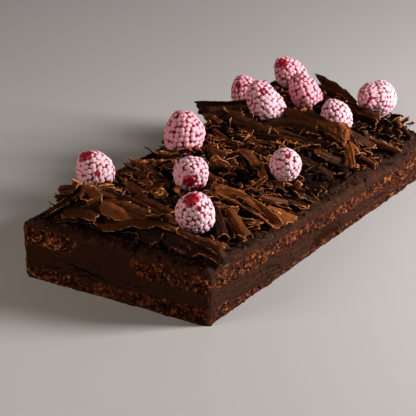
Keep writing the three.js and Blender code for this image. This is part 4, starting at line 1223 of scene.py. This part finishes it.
def height_map(plan, clouds, cell=1.0):
    """The heap's height over the plan, and whether a place is under the first cloud.

    The height is the core's, raised to the highest point of each cell.
    """
    reach_x, reach_y = plan.length / 2 + 15, plan.width / 2 + 8
    xs, ys = np.arange(-reach_x, reach_x, cell), np.arange(-reach_y, reach_y, cell)
    heights = plan.core(*np.meshgrid(xs, ys, indexing="ij"))
    under = np.zeros(heights.shape, dtype=bool)

    def index(x, y):
        i = np.clip(((x + reach_x) / cell).astype(int), 0, len(xs) - 1)
        j = np.clip(((y + reach_y) / cell).astype(int), 0, len(ys) - 1)
        return i, j

    for k, cloud in enumerate(clouds):
        place = index(cloud[:, 0], cloud[:, 1])
        np.maximum.at(heights, place, cloud[:, 2])
        if k == 0:
            under[place] = True

    return (lambda x, y: heights[index(x, y)]), (lambda x, y: under[index(x, y)])


def scattered(plan, spacing, margin, seed):
    """Places on a jittered grid over the heap's footprint, less a margin, and a number for each."""
    half_x = plan.length / 2 - plan.heap_inset - margin
    half_y = plan.width / 2 - plan.heap_inset - margin
    along, across = round(2 * half_x / spacing), round(2 * half_y / spacing)
    i, j = (grid.ravel() for grid in np.meshgrid(np.arange(along), np.arange(across), indexing="ij"))
    x = half_x * (2 * (i + hashed(i, j, seed)) / along - 1)
    y = half_y * (2 * (j + hashed(i, j, seed + 1)) / across - 1)
    return x + plan.slant(x, y), y, lambda n: hashed(i, j, seed + 1 + n)


def scattered_strips(
    plan, surface, covered, seed, spacing, margin, length, width, turn, spread, tilt, roll, lift
):
    """Small strips that lie in the heap, most of them across the cake.

    They lie from below the core's top to a lift over it, and under the large shavings rather than on them.
    """
    x, y, pick = scattered(plan, spacing, margin, seed)
    astray = np.where(pick(2) < 0.2, 80 * (pick(3) - 0.5), 0)
    compass = np.radians(-90 + spread * 2 * (pick(1) - 0.5) + astray)
    half = mix(*length, pick(4) ** 1.7) / 2
    pitch = np.radians(tilt) * 2 * (pick(5) - 0.5)
    step_x, step_y = half * np.cos(compass) * np.cos(pitch), half * np.sin(compass) * np.cos(pitch)
    rise = half * np.sin(pitch)
    low, high, under = plan.core(x, y), surface(x, y), covered(x, y)
    free = low - 1.4 + (lift + 1.4) * pick(6) ** 1.3
    z = np.where(under, np.where(pick(15) < 0.06, high + 0.3, low - 1.2), free)
    rows = np.stack([
        x - step_x, y - step_y, z - rise,
        x + step_x, y + step_y, z + rise,
        mix(*width, pick(7) ** 1.4),
        mix(*turn, pick(8)) * np.where(pick(9) < 0.5, -1, 1),
        roll * 2 * (pick(10) - 0.5),
        0.6 * (pick(11) - 0.5),  # bias
        0.8 * (pick(12) - 0.5),  # taper
        1.6 * half / length[1] * 2 * (pick(13) - 0.3),  # bow
        np.zeros_like(x),
    ], axis=-1)
    thinned = (noise(x / 8, y / 10, 240) > -0.55 + 0.35 * pick(14)) & ~(under & (pick(16) < 0.5))
    shade, bare = np.zeros_like(x), np.zeros_like(x)
    for at_x, at_y, radius, left_out in SHADED:
        near = step(radius, 0.5 * radius, np.hypot(x - at_x, y - at_y))
        shade, bare = np.maximum(shade, near), np.maximum(bare, near * left_out)
    keep = thinned & (pick(17) > bare) & ~in_berries(plan, np.stack([x, y, z], axis=-1), 1.5)
    strips = Strips(rows[keep], seed)
    # Painted shade on the flakes in the shaded places.
    strips.tone = strips.tone * (1 - shade[keep]) - 0.5 * shade[keep]
    strips.shorten(plan)
    return strips


def crumbs_surface(plan, spacing, seed):
    """Loose crumbs on the bare rim: each a lump of six columns and three rows, closed at its poles."""
    x, y, pick = scattered(plan, spacing, -7.0, seed)
    straight = x - plan.slant(x, y)
    inset = np.minimum(plan.length / 2 - np.abs(straight), plan.width / 2 - np.abs(y))
    keep = (inset > 1.2) & (inset < 12) & (pick(1) < 0.5)
    x, y = x[keep], y[keep]
    sizes = (0.18 + 0.6 * pick(2)[keep] ** 4)[:, None, None]
    over_shoulder = np.clip((SHOULDER["in"] - inset[keep]) / SHOULDER["in"], 0, 1)
    drop = SHOULDER["down"] * (1 - np.sqrt(1 - over_shoulder**2))
    z = plan.top(x, y) - drop + 0.1
    columns = 6
    polar = np.radians([30, 80, 130])[None, :, None]
    angle = (2 * np.pi * np.arange(columns) / columns)[None, None, :]
    k = np.arange(len(x))[:, None, None]
    radius = sizes * (0.75 + 0.5 * hashed(k, np.arange(3)[None, :, None] * 7 + np.arange(columns), seed + 9))
    lumps = np.stack([
        x[:, None, None] + radius * np.sin(polar) * np.cos(angle) * 1.3,
        y[:, None, None] + radius * np.sin(polar) * np.sin(angle),
        z[:, None, None] + radius * np.cos(polar) + 0 * angle,
    ], axis=-1).reshape(len(x), -1, 3)
    tops = np.stack([x, y, z + sizes[:, 0, 0] * 0.9], axis=-1)[:, None]
    feet = np.stack([x, y, z - sizes[:, 0, 0] * 0.9], axis=-1)[:, None]
    points = np.concatenate([lumps, tops, feet], axis=1)
    size = points.shape[1]
    quads = wrapped_quads(3, columns)[:, ::-1]
    c = np.arange(columns)
    ahead = (c + 1) % columns
    caps = np.concatenate([
        np.stack([c, ahead, np.full(columns, size - 2)], axis=-1),
        np.stack([ahead + 2 * columns, c + 2 * columns, np.full(columns, size - 1)], axis=-1),
    ])
    offsets = (np.arange(len(x)) * size)[:, None, None]
    quads, caps = (quads + offsets).reshape(-1, 4), (caps + offsets).reshape(-1, 3)
    return points.reshape(-1, 3), quads, caps, np.repeat(pick(3)[keep], size)


# ---- Shaders ----
class Value:
    """A number's socket in a node tree. The usual operators add Math nodes."""

    def __init__(self, graph, socket):
        self.graph = graph
        self.socket = socket

    def math(self, operation, *others):
        """A Math node on this value and others."""
        values = dict(enumerate((self, *others)))
        return self.graph.node("ShaderNodeMath", {"operation": operation}, values)[0]

    def __add__(self, other):
        return self.math("ADD", other)

    def __sub__(self, other):
        return self.math("SUBTRACT", other)

    def __mul__(self, other):
        return self.math("MULTIPLY", other)

    def __rsub__(self, other):
        return self.graph.node("ShaderNodeMath", {"operation": "SUBTRACT"}, {0: other, 1: self})[0]

    __radd__ = __add__
    __rmul__ = __mul__

    def between(self, low, high):
        """0 at low, 1 at high, eased between."""
        settings = {"interpolation_type": "SMOOTHSTEP"}
        return self.graph.node("ShaderNodeMapRange", settings, {0: self, 1: low, 2: high})[0]


class Graph:
    """A material's node tree, ending in one Principled shader."""

    def __init__(self, name):
        self.material = bpy.data.materials.new(name)
        self.material.use_nodes = True
        self.tree = self.material.node_tree
        self.shader = self.tree.nodes["Principled BSDF"]

    def node(self, kind, settings=None, inputs=None):
        """Adds a node, applies its settings, then fills or links its sockets, and returns its outputs."""
        node = self.tree.nodes.new(kind)
        for key, value in (settings or {}).items():
            setattr(node, key, value)
        for key, value in (inputs or {}).items():
            self.fill(node.inputs[key], value)
        return [Value(self, output) for output in node.outputs]

    def fill(self, socket, value):
        """Links a socket to a value, or sets it to a number or a colour."""
        if isinstance(value, Value):
            self.tree.links.new(value.socket, socket)
        elif hasattr(socket.default_value, "__len__") and len(socket.default_value) == 4:
            socket.default_value = (*value[:3], 1.0)
        else:
            socket.default_value = value

    def number(self, name):
        """The mesh's own attribute of that name."""
        return self.node("ShaderNodeAttribute", {"attribute_name": name})[2]

    def place(self, scale):
        """Object coordinates in millimetres times a scale."""
        coordinates = self.node("ShaderNodeTexCoord")[3]
        factors = tuple(MM * f for f in (scale if isinstance(scale, tuple) else (scale,) * 3))
        return self.node("ShaderNodeVectorMath", {"operation": "MULTIPLY"}, {0: coordinates, 1: factors})[0]

    def strip_place(self, across, along):
        """The strip's own coordinates, across and along it, times two scales."""
        uv = self.node("ShaderNodeUVMap", {"uv_map": "strip"})[0]
        return self.node("ShaderNodeVectorMath", {"operation": "MULTIPLY"}, {0: uv, 1: (across, along, 1)})[0]

    def noise(self, place, detail=2.0, roughness=0.5):
        """A noise texture's value from 0 to 1."""
        inputs = {"Vector": place, "Scale": 1.0, "Detail": detail, "Roughness": roughness}
        return self.node("ShaderNodeTexNoise", None, inputs)[0]

    def cells(self, place):
        """A Voronoi texture's distance, and its cell's colour as one number."""
        outputs = self.node("ShaderNodeTexVoronoi", None, {"Vector": place, "Scale": 1.0})
        own = self.node("ShaderNodeSeparateColor", None, {0: outputs[1]})[0]
        return outputs[0], own

    def blend(self, share, low, high):
        """A colour between two colours."""
        node = self.tree.nodes.new("ShaderNodeMix")
        node.data_type = "RGBA"
        self.fill(node.inputs[0], share)
        self.fill(node.inputs[6], low)
        self.fill(node.inputs[7], high)
        return Value(self, node.outputs[2])

    def over(self, colour, *layers):
        """A colour with others laid over it in turn, each with its share."""
        for share, other in layers:
            colour = self.blend(share, colour, other)
        return colour

    def bump(self, height, strength, distance):
        """A normal from a height in millimetres."""
        inputs = {"Strength": strength, "Distance": distance / MM, "Height": height}
        return self.node("ShaderNodeBump", None, inputs)[0]

    def finish(self, **inputs):
        """Fills the shader's sockets, named with underscores for spaces, and returns the material."""
        for key, value in inputs.items():
            self.fill(self.shader.inputs[key.replace("_", " ")], value)
        return self.material


def sponge_material(colours, name):
    """Sponge and mousse: painted shade between the crumbs and in their hollows and cracks, warm painted light
    on the crumbs, and a painted glint here and there.
    """
    g = Graph(name)
    rough, shine, relief = g.number("rough"), g.number("shine"), g.number("relief")
    fine = g.noise(g.place(1.6), detail=4.0, roughness=0.65)
    grit = fine - 0.5
    patches = g.noise(g.place(0.11))
    veins = g.noise(g.place((0.45, 0.45, 1.5)), detail=4.0, roughness=0.6)
    away, own = g.cells(g.place(0.78))
    clump, lump = g.cells(g.place(0.4))
    loose = rough.between(0.12, 0.5)
    smooth = g.over(
        colours.mousse,
        (patches.between(0.35, 0.7), colours.smear),
        (veins.between(0.51, 0.66) * 0.8, colours.bloom),
        (veins.between(0.47, 0.3) * 0.8, colours.pit),
    )
    crumbly = g.blend((own * 0.8 + grit * 0.8).between(0.1, 0.9), colours.sponge_dark, colours.sponge)
    # Painted light on the crumbs' tops, and painted glints on a few.
    bright = (shine * 0.9 + grit + (own - 0.6) * 0.4 + (lump - 0.55) * 0.8).between(0.15, 0.9)
    glint = (own * 0.8 + grit * 1.2 + shine * 0.35).between(0.98, 1.2)
    # Painted shade: in the hollows of the relief, between the crumbs, between the clumps and in the cracks.
    depth = (relief + grit * 0.5).between(0.1, -0.5)
    between = (away + grit * 0.9).between(0.45, 0.8)
    apart = (clump + grit * 0.8).between(0.5, 0.74)
    colour = g.over(
        smooth,
        (loose, crumbly),
        (bright * loose, colours.crumb),
        (glint * loose, colours.glint),
        (depth * (0.2 + 0.75 * loose), colours.pit),
        (between * loose * 0.8, colours.pit),
        (apart * loose * 0.95, colours.pit),
        (relief.between(-0.45, -1.3), colours.pit),
    )
    height = fine * 0.5 * rough.between(0.05, 0.5) + (1 - away) * rough * 0.4 + (1 - clump) * rough * 0.9
    height = height + g.noise(g.place((0.35, 0.35, 1.3)), detail=3.0) * 0.16
    return g.finish(
        Base_Color=colour,
        Roughness=0.66 - bright * loose * 0.25,
        Specular_IOR_Level=0.06,
        Normal=g.bump(height, 0.9, 0.6),
    )


def ganache_material(colours):
    """Set ganache: dark and satin, with a dull bloom, fine pits and the marks of the spatula."""
    g = Graph("ganache")
    relief, side = g.number("relief"), g.number("side")
    bloom = g.noise(g.place(0.16), detail=3.0, roughness=0.6)
    grain = g.noise(g.place(1.4), detail=3.0, roughness=0.6)
    away, own = g.cells(g.place(0.95))
    wall = g.over(
        colours.smear,
        (bloom.between(0.4, 0.65) * 0.45, colours.bloom),
        ((own + (grain - 0.5)).between(0.75, 1.1) * 0.4, colours.sponge),
    )
    colour = g.over(
        colours.ganache,
        (bloom.between(0.35, 0.7), colours.bloom),
        (side.between(0.2, 0.8), wall),
        ((grain + (own - 0.5) * 0.5).between(0.72, 1.0) * 0.5, colours.crumb),
        # painted shade in the dimples and pits
        ((relief + (grain - 0.5) * 0.6).between(-0.1, -0.8) * 0.75, colours.pit),
    )
    height = grain * 0.5 - away * 0.5 + g.noise(g.place(0.5), detail=2.0) * 0.5
    return g.finish(
        Base_Color=colour,
        Roughness=0.36 + bloom * 0.15 + (grain - 0.5) * 0.3 + side * 0.35,
        Specular_IOR_Level=0.06,
        Normal=g.bump(height, 0.9, 0.9),
    )


def chocolate_material(colours, name, light):
    """Scraped chocolate: fine lines along the strip, a satin face, and a pale warm painted highlight along
    the edges, as strong as light sets. Faces low in the heap are painted in shade, and a face's tone carries
    the painted light and shade given to its shaving.
    """
    g = Graph(name)
    edge, tone, inner, high = (g.number(key) for key in ("edge", "tone", "inner", "high"))
    lines = g.noise(g.strip_place(2.3, 0.07), detail=3.0, roughness=0.65)
    bands = g.noise(g.strip_place(0.75, 0.03), detail=2.0, roughness=0.6)
    blotch = g.noise(g.place(0.35), detail=3.0)
    grain = g.noise(g.place(2.2), detail=2.0)
    # Lighter with the tone and with the height over the core: painted light and shade.
    lightness = tone * 0.9 + (lines - 0.5) + (bands - 0.5) * 1.5 + (blotch - 0.5) * 0.8 + (high - 0.8)
    face = g.over(
        colours.chocolate_dark,
        (lightness.between(0.0, 1.1), colours.chocolate),
        # painted light: bands of the dim highlight on the lightest-toned faces
        (tone.between(0.75, 1.15) * bands.between(0.3, 0.6), colours.dim_highlight),
        (inner * high * (0.15 + tone * 0.5), colours.chocolate_warm),
        ((1 - inner) * (tone + blotch * 0.5).between(0.95, 1.35) * 0.3, colours.bloom),
    )
    # Painted highlight along the edges, stronger on pieces high in the heap and on lighter-toned ones, and
    # along the lines and bands.
    strength = edge * (0.35 + light + high * 0.5) + (grain - 0.5) * 0.8 * edge
    strength = strength + ((lines - 0.58) * 1.2 + (bands - 0.6) * 1.6) * high
    broken = (strength * (0.55 + tone.between(-0.5, 0.2) * 0.5)).between(0.3, 0.95)
    highlight_colour = g.blend(grain.between(0.35, 0.7), colours.dim_highlight, colours.broken)
    return g.finish(
        # Pieces low in the heap are painted in shade.
        Base_Color=g.over(face, (broken, highlight_colour), ((1 - high) * 0.85, colours.pit)),
        Roughness=0.5 + (blotch - 0.5) * 0.2 + edge * 0.16,
        Specular_IOR_Level=0.06,
        Normal=g.bump(lines * 0.8 + grain * 0.2 + blotch * 0.5, 0.9, 0.5),
    )


def core_material(colours):
    """The shreds deep in the heap: painted shade, near black, with lighter crests."""
    g = Graph("shreds")
    threads = g.noise(g.place((1.1, 0.28, 0.8)), detail=4.0, roughness=0.65)
    colour = g.blend(threads.between(0.5, 0.8), colours.pit, colours.chocolate_dark)
    return g.finish(
        Base_Color=colour,
        Roughness=0.75,
        Specular_IOR_Level=0.03,
        Normal=g.bump(threads, 0.9, 0.7),
    )


def crumb_material(colours):
    """Loose crumbs, each with its own tone."""
    g = Graph("loose_crumbs")
    colour = g.blend(g.number("tone").between(0.3, 1.0), colours.pit, colours.sponge)
    normal = g.bump(g.noise(g.place(2.5)), 0.7, 0.3)
    return g.finish(Base_Color=colour, Roughness=0.8, Specular_IOR_Level=0.08, Normal=normal)


def berry_material(colours):
    """Raspberry flesh under frost: the frost lies on the drupelets' crowns and leaves the flesh bare in the
    grooves, which are painted darker as shade.
    """
    g = Graph("raspberry")
    frost, crest, pink = g.number("frost"), g.number("crest"), g.number("pink")
    sparkle = g.noise(g.place(2.6), detail=3.0, roughness=0.7)
    drift = g.noise(g.place(0.22), detail=2.0)
    # painted shade in the grooves
    flesh = g.blend(crest.between(0.05, 0.9), colours.flesh_groove_shade, colours.flesh)
    whiteness = (drift - 0.5) * 0.8 + (sparkle - 0.5) * 0.5 + crest * 0.7 + 0.45 - pink
    rime = g.blend(whiteness.between(0.1, 0.85), colours.frost_pink, colours.frost)
    cover = (frost + (sparkle - 0.5) * 0.5).between(0.25, 0.75)
    return g.finish(
        Base_Color=g.blend(cover, flesh, rime),
        Roughness=0.32 + cover * 0.4,
        Specular_IOR_Level=0.4,
        Normal=g.bump(sparkle * cover, 0.7, 0.35),
    )


def floor_material(colours):
    """A plain pale matt floor with a faint unevenness."""
    g = Graph("floor")
    tint = g.noise(g.place(0.004)).between(0.3, 0.7)
    return g.finish(Base_Color=g.blend(tint, colours.floor, [0.97 * c for c in colours.floor]), Roughness=0.9)


# ---- Settings ----
def size(name, default, description, **more):
    """A length in metres that the user can change."""
    return FloatProperty(name=name, description=description, default=default, unit="LENGTH", **more)


def colour(name, default, description):
    """A linear colour that the user can change."""
    return FloatVectorProperty(
        name=name, description=description, default=default, subtype="COLOR", size=3, min=0.0, max=1.0
    )


def angle(name, degrees, description):
    """An angle that the user can change."""
    return FloatProperty(name=name, description=description, default=math.radians(degrees), subtype="ANGLE")


def power(name, default, description):
    """A light's power that the user can change."""
    return FloatProperty(name=name, description=description, default=default, unit="POWER")


class CakeSizes(bpy.types.PropertyGroup):
    """The cake's driving sizes."""

    length: size("Length", 0.250, "Length of the shown long side")
    width: size("Width", 0.120, "Width of the cake")
    skew: size("Skew", 0.010, "How much further out the near end's left corner lies")
    corner: size("Corner radius", 0.004, "Radius of the upright corners")
    heap_inset: size("Heap inset", 0.008, "From the outline to the foot of the heap")
    heap_rise: size("Heap rise", 0.005, "Height of the heap's core above the ganache")
    spacing: size("Side spacing", 0.00045, "Spacing of the vertices of the cut sides", precision=5)
    core_spacing: size("Core spacing", 0.0009, "Spacing of the vertices of the heap's core", precision=5)
    gap: size("Gap", 0.00006, "Between layers that lie on each other", precision=6)
    sheet: size("Sheet thickness", 0.0006, "Thickness of a large shaving", precision=5)
    flake: size("Flake thickness", 0.00042, "Thickness of a flake", precision=5)
    berry_columns: IntProperty(name="Berry columns", description="Vertices round a berry", default=128)
    berry_rows: IntProperty(name="Berry rows", description="Rows of vertices over a berry", default=84)


class CakeColours(bpy.types.PropertyGroup):
    """The colours of the cake's finishes."""

    sponge: colour("Sponge", (0.17, 0.037, 0.0088), "Crumb of the sponge")
    sponge_dark: colour("Dark sponge", (0.048, 0.009, 0.0026), "Shaded crumb")
    # Painted light on the tops of the crumbs, and painted glints on the few brightest.
    crumb: colour("Crumb glint", (0.46, 0.128, 0.028), "Lit tops of the crumbs")
    glint: colour("Glint", (0.66, 0.31, 0.11), "The few brightest crumbs")
    # Mostly painted shade: in pits, cracks and hollows, between crumbs, deep in the heap and on its core;
    # also the dark veins of the mousse and the darkest loose crumbs.
    pit: colour("Pit", (0.005, 0.0015, 0.001), "Pits, cracks and the depth of the heap")
    mousse: colour("Mousse", (0.026, 0.0072, 0.0025), "Chocolate mousse")
    smear: colour("Smear", (0.031, 0.0087, 0.003), "Where the knife has smeared the side")
    ganache: colour("Ganache", (0.020, 0.0070, 0.0033), "Chocolate ganache")
    bloom: colour("Bloom", (0.042, 0.0158, 0.0078), "Dull places on ganache and chocolate")
    chocolate: colour("Chocolate", (0.155, 0.043, 0.0125), "Face of a shaving")
    chocolate_dark: colour("Dark chocolate", (0.0115, 0.0030, 0.0012), "Darker faces")
    chocolate_warm: colour("Warm chocolate", (0.22, 0.062, 0.014), "Inner faces of the curls")
    # Painted highlights along the shavings' edges, bright and dim; the dim one also bands the lightest faces.
    broken: colour("Broken edge", (0.88, 0.36, 0.125), "Broken edges of the shavings")
    dim_highlight: colour("Dark broken edge", (0.38, 0.115, 0.031), "Shaded broken edges")
    flesh: colour("Flesh", (0.46, 0.008, 0.03), "Bare raspberry")
    # Painted shade in the grooves between the drupelets.
    flesh_groove_shade: colour("Dark flesh", (0.22, 0.006, 0.018), "Between the drupelets")
    frost: colour("Frost", (0.80, 0.55, 0.62), "Frost on the raspberries")
    frost_pink: colour("Pink frost", (0.86, 0.32, 0.405), "Thin frost on the raspberries")
    floor: colour("Floor", (0.50, 0.49, 0.475), "Floor")


class CakeStage(bpy.types.PropertyGroup):
    """The camera and the lights."""

    camera: FloatVectorProperty(
        name="Camera", description="Place of the camera", default=(-0.73333, -0.48052, 0.42037),
        subtype="TRANSLATION",
    )
    azimuth: angle("Azimuth", -55.41, "Camera's angle round the cake, from looking along +Y")
    elevation: angle("Elevation", 25.2, "Camera's angle above the horizon")
    lens: FloatProperty(name="Lens", description="Focal length on a 36 mm sensor, in mm", default=139.5)
    key: power("Key light", 18.5, "Power of the light from the right")
    fill: power("Fill light", 1.8, "Power of the light from the left")
    rim: power("Rim light", 0.3, "Power of the light from behind")
    ambient: FloatProperty(name="Ambient", description="Strength of the light from all round", default=0.02)


def settings():
    """The scene's plan, colours and sizes."""
    scene = bpy.context.scene
    return Plan(scene.cake_sizes), scene.cake_colours, scene.cake_sizes


# ---- Operators ----
class CAKE_OT_layers(bpy.types.Operator):
    """Builds the two sponges and the mousse between them."""

    bl_idname = "cake.layers"
    bl_label = "Layers"

    def execute(self, context):
        plan, colours, sizes = settings()
        finishes = {name: sponge_material(colours, name) for name in ("sponge", "mousse")}
        for level, node, rows, slot in (
            (SPONGE_BASE, "sponge_base", 22, "sponge"),
            (MOUSSE, "mousse", 24, "mousse"),
            (SPONGE_TOP, "sponge_top", 26, "sponge"),
        ):
            shape, numbers = layer_surface(plan, level, rows, MM * sizes.gap / 2)
            make_piece(node + "_cut", *shape, finishes[slot], slot, [node], numbers)
        return {"FINISHED"}


class CAKE_OT_ganache(bpy.types.Operator):
    """Builds the ganache with its rounded shoulder and dimpled rim."""

    bl_idname = "cake.ganache"
    bl_label = "Ganache"

    def execute(self, context):
        plan, colours, sizes = settings()
        shape, numbers = ganache_surface(plan, MM * sizes.gap / 2)
        make_piece("ganache_coat", *shape, ganache_material(colours), "ganache", ["ganache"], numbers)
        return {"FINISHED"}


class CAKE_OT_shavings(bpy.types.Operator):
    """Builds the heap: its core, the large curls, the sheets nested in them, the flakes and the shreds."""

    bl_idname = "cake.shavings"
    bl_label = "Shavings"

    def execute(self, context):
        plan, colours, sizes = settings()
        core = core_surface(plan, MM * sizes.core_spacing)
        make_piece("heap_core", *core, core_material(colours), "shavings", ["shavings"])
        # The last number sets the strength of the painted edge highlight.
        curl_finish = chocolate_material(colours, "chocolate_curls", 0.3)
        flake_finish = chocolate_material(colours, "chocolate_flakes", 0.45)
        curls = laid_shavings(plan)
        large = {
            "curls": curls,
            "nested_sheets": nested_sheets(plan, curls, 1),
            "under_sheets": nested_sheets(plan, curls, 2),
        }
        clouds = [
            self.lay(name, plan, strips, MM * sizes.sheet, curl_finish, twist=0.0, liveliness=0.5)
            for name, strips in large.items()
        ]
        points, quads, numbers, uv = stacked_sheets()
        clouds.insert(0, np.concatenate([points, clouds[0]]))
        make_piece("stacked_sheets", points, quads, [], curl_finish, "shavings", ["shavings"], numbers, uv)
        surface, covered = height_map(plan, clouds)
        for name, group in SCATTERED.items():
            strips = scattered_strips(plan, surface, covered, **group)
            self.lay(name, plan, strips, MM * sizes.flake, flake_finish, twist=0.5, liveliness=0.8)
        return {"FINISHED"}

    def lay(self, name, plan, strips, thickness, finish, twist, liveliness):
        """Makes a piece of strips, and returns its points."""
        grid, share, torn = STRIP_SURFACES[name]
        points, quads, numbers, uv = strips.surface(plan, *grid, share * thickness, torn, twist, liveliness)
        make_piece(name, points, quads, [], finish, "shavings", ["shavings"], numbers, uv)
        return points


class CAKE_OT_crumbs(bpy.types.Operator):
    """Scatters loose crumbs on the bare rim."""

    bl_idname = "cake.crumbs"
    bl_label = "Crumbs"

    def execute(self, context):
        plan, colours, _ = settings()
        points, quads, caps, tone = crumbs_surface(plan, 2.6, 400)
        make_piece("rim_crumbs", points, quads, caps, crumb_material(colours), "sponge", (), {"tone": tone})
        return {"FINISHED"}


class CAKE_OT_raspberries(bpy.types.Operator):
    """Builds the frosted raspberries."""

    bl_idname = "cake.raspberries"
    bl_label = "Raspberries"

    def execute(self, context):
        plan, colours, sizes = settings()
        material = berry_material(colours)
        for k, berry in enumerate(BERRIES):
            node = f"raspberry_{k + 1:02d}"
            seed = 500 + 20 * k
            shape, numbers = berry_surface(plan, berry, seed, sizes.berry_columns, sizes.berry_rows)
            make_piece(node + "_frosted", *shape, material, "raspberry", [node], numbers)
        return {"FINISHED"}


class CAKE_OT_stage(bpy.types.Operator):
    """Adds the floor, the camera and the lights."""

    bl_idname = "cake.stage"
    bl_label = "Stage"

    def execute(self, context):
        scene = context.scene
        stage = scene.cake_stage
        half = FLOOR_SIZE / 2
        mesh = bpy.data.meshes.new("floor")
        corners = [(half * x, half * y, 0) for x, y in ((-1, -1), (1, -1), (1, 1), (-1, 1))]
        mesh.from_pydata(corners, [], [(0, 1, 2, 3)])
        mesh.materials.append(floor_material(scene.cake_colours))
        floor = bpy.data.objects.new("floor", mesh)
        scene.collection.objects.link(floor)
        camera = bpy.data.objects.new("camera", bpy.data.cameras.new("camera"))
        camera.data.lens = stage.lens
        camera.data.clip_start, camera.data.clip_end = 0.05, 20
        camera.location = stage.camera
        camera.rotation_euler = (math.pi / 2 - stage.elevation, 0, stage.azimuth)
        scene.collection.objects.link(camera)
        scene.camera = camera
        for name, (place, width, tint) in LIGHTS.items():
            self.light(name, getattr(stage, name), place, width, tint)
        world = bpy.data.worlds.new("world")
        world.use_nodes = True
        background = world.node_tree.nodes["Background"]
        background.inputs["Color"].default_value = WORLD_TINT
        background.inputs["Strength"].default_value = stage.ambient
        scene.world = world
        scene.view_settings.view_transform = "Standard"
        return {"FINISHED"}

    def light(self, name, power, place, width, tint):
        """An area light at a place, facing the cake."""
        data = bpy.data.lights.new(name, "AREA")
        data.energy, data.size, data.color = power, width, tint
        light = bpy.data.objects.new(name, data)
        aim = (Vector((0, 0, 0.03)) - Vector(place)).to_track_quat("-Z", "Y")
        light.matrix_world = Matrix.Translation(place) @ aim.to_matrix().to_4x4()
        bpy.context.scene.collection.objects.link(light)


class CAKE_PT_panel(bpy.types.Panel):
    """Lists the pieces, the sizes and the colours."""

    bl_idname = "CAKE_PT_panel"
    bl_label = "Chocolate cake"
    bl_space_type = "VIEW_3D"
    bl_region_type = "UI"
    bl_category = "Cake"

    def draw(self, context):
        for operator in OPERATORS:
            self.layout.operator(operator.bl_idname)
        for group in (context.scene.cake_sizes, context.scene.cake_colours, context.scene.cake_stage):
            box = self.layout.box()
            for key in type(group).__annotations__:
                box.prop(group, key)


OPERATORS = (
    CAKE_OT_layers,
    CAKE_OT_ganache,
    CAKE_OT_shavings,
    CAKE_OT_crumbs,
    CAKE_OT_raspberries,
    CAKE_OT_stage,
)
GROUPS = {"cake_sizes": CakeSizes, "cake_colours": CakeColours, "cake_stage": CakeStage}


def register():
    """Registers the classes and hangs the settings on the scene."""
    for item in (*GROUPS.values(), *OPERATORS, CAKE_PT_panel):
        bpy.utils.register_class(item)
    for key, group in GROUPS.items():
        setattr(bpy.types.Scene, key, PointerProperty(type=group))


def unregister():
    """Takes away what register added."""
    for key in GROUPS:
        delattr(bpy.types.Scene, key)
    for item in (CAKE_PT_panel, *reversed(OPERATORS), *reversed(GROUPS.values())):
        bpy.utils.unregister_class(item)


def main():
    """Builds the cake and its stage."""
    register()
    bpy.ops.cake.layers()
    bpy.ops.cake.ganache()
    bpy.ops.cake.shavings()
    bpy.ops.cake.crumbs()
    bpy.ops.cake.raspberries()
    bpy.ops.cake.stage()


if __name__ == "__main__":
    main()
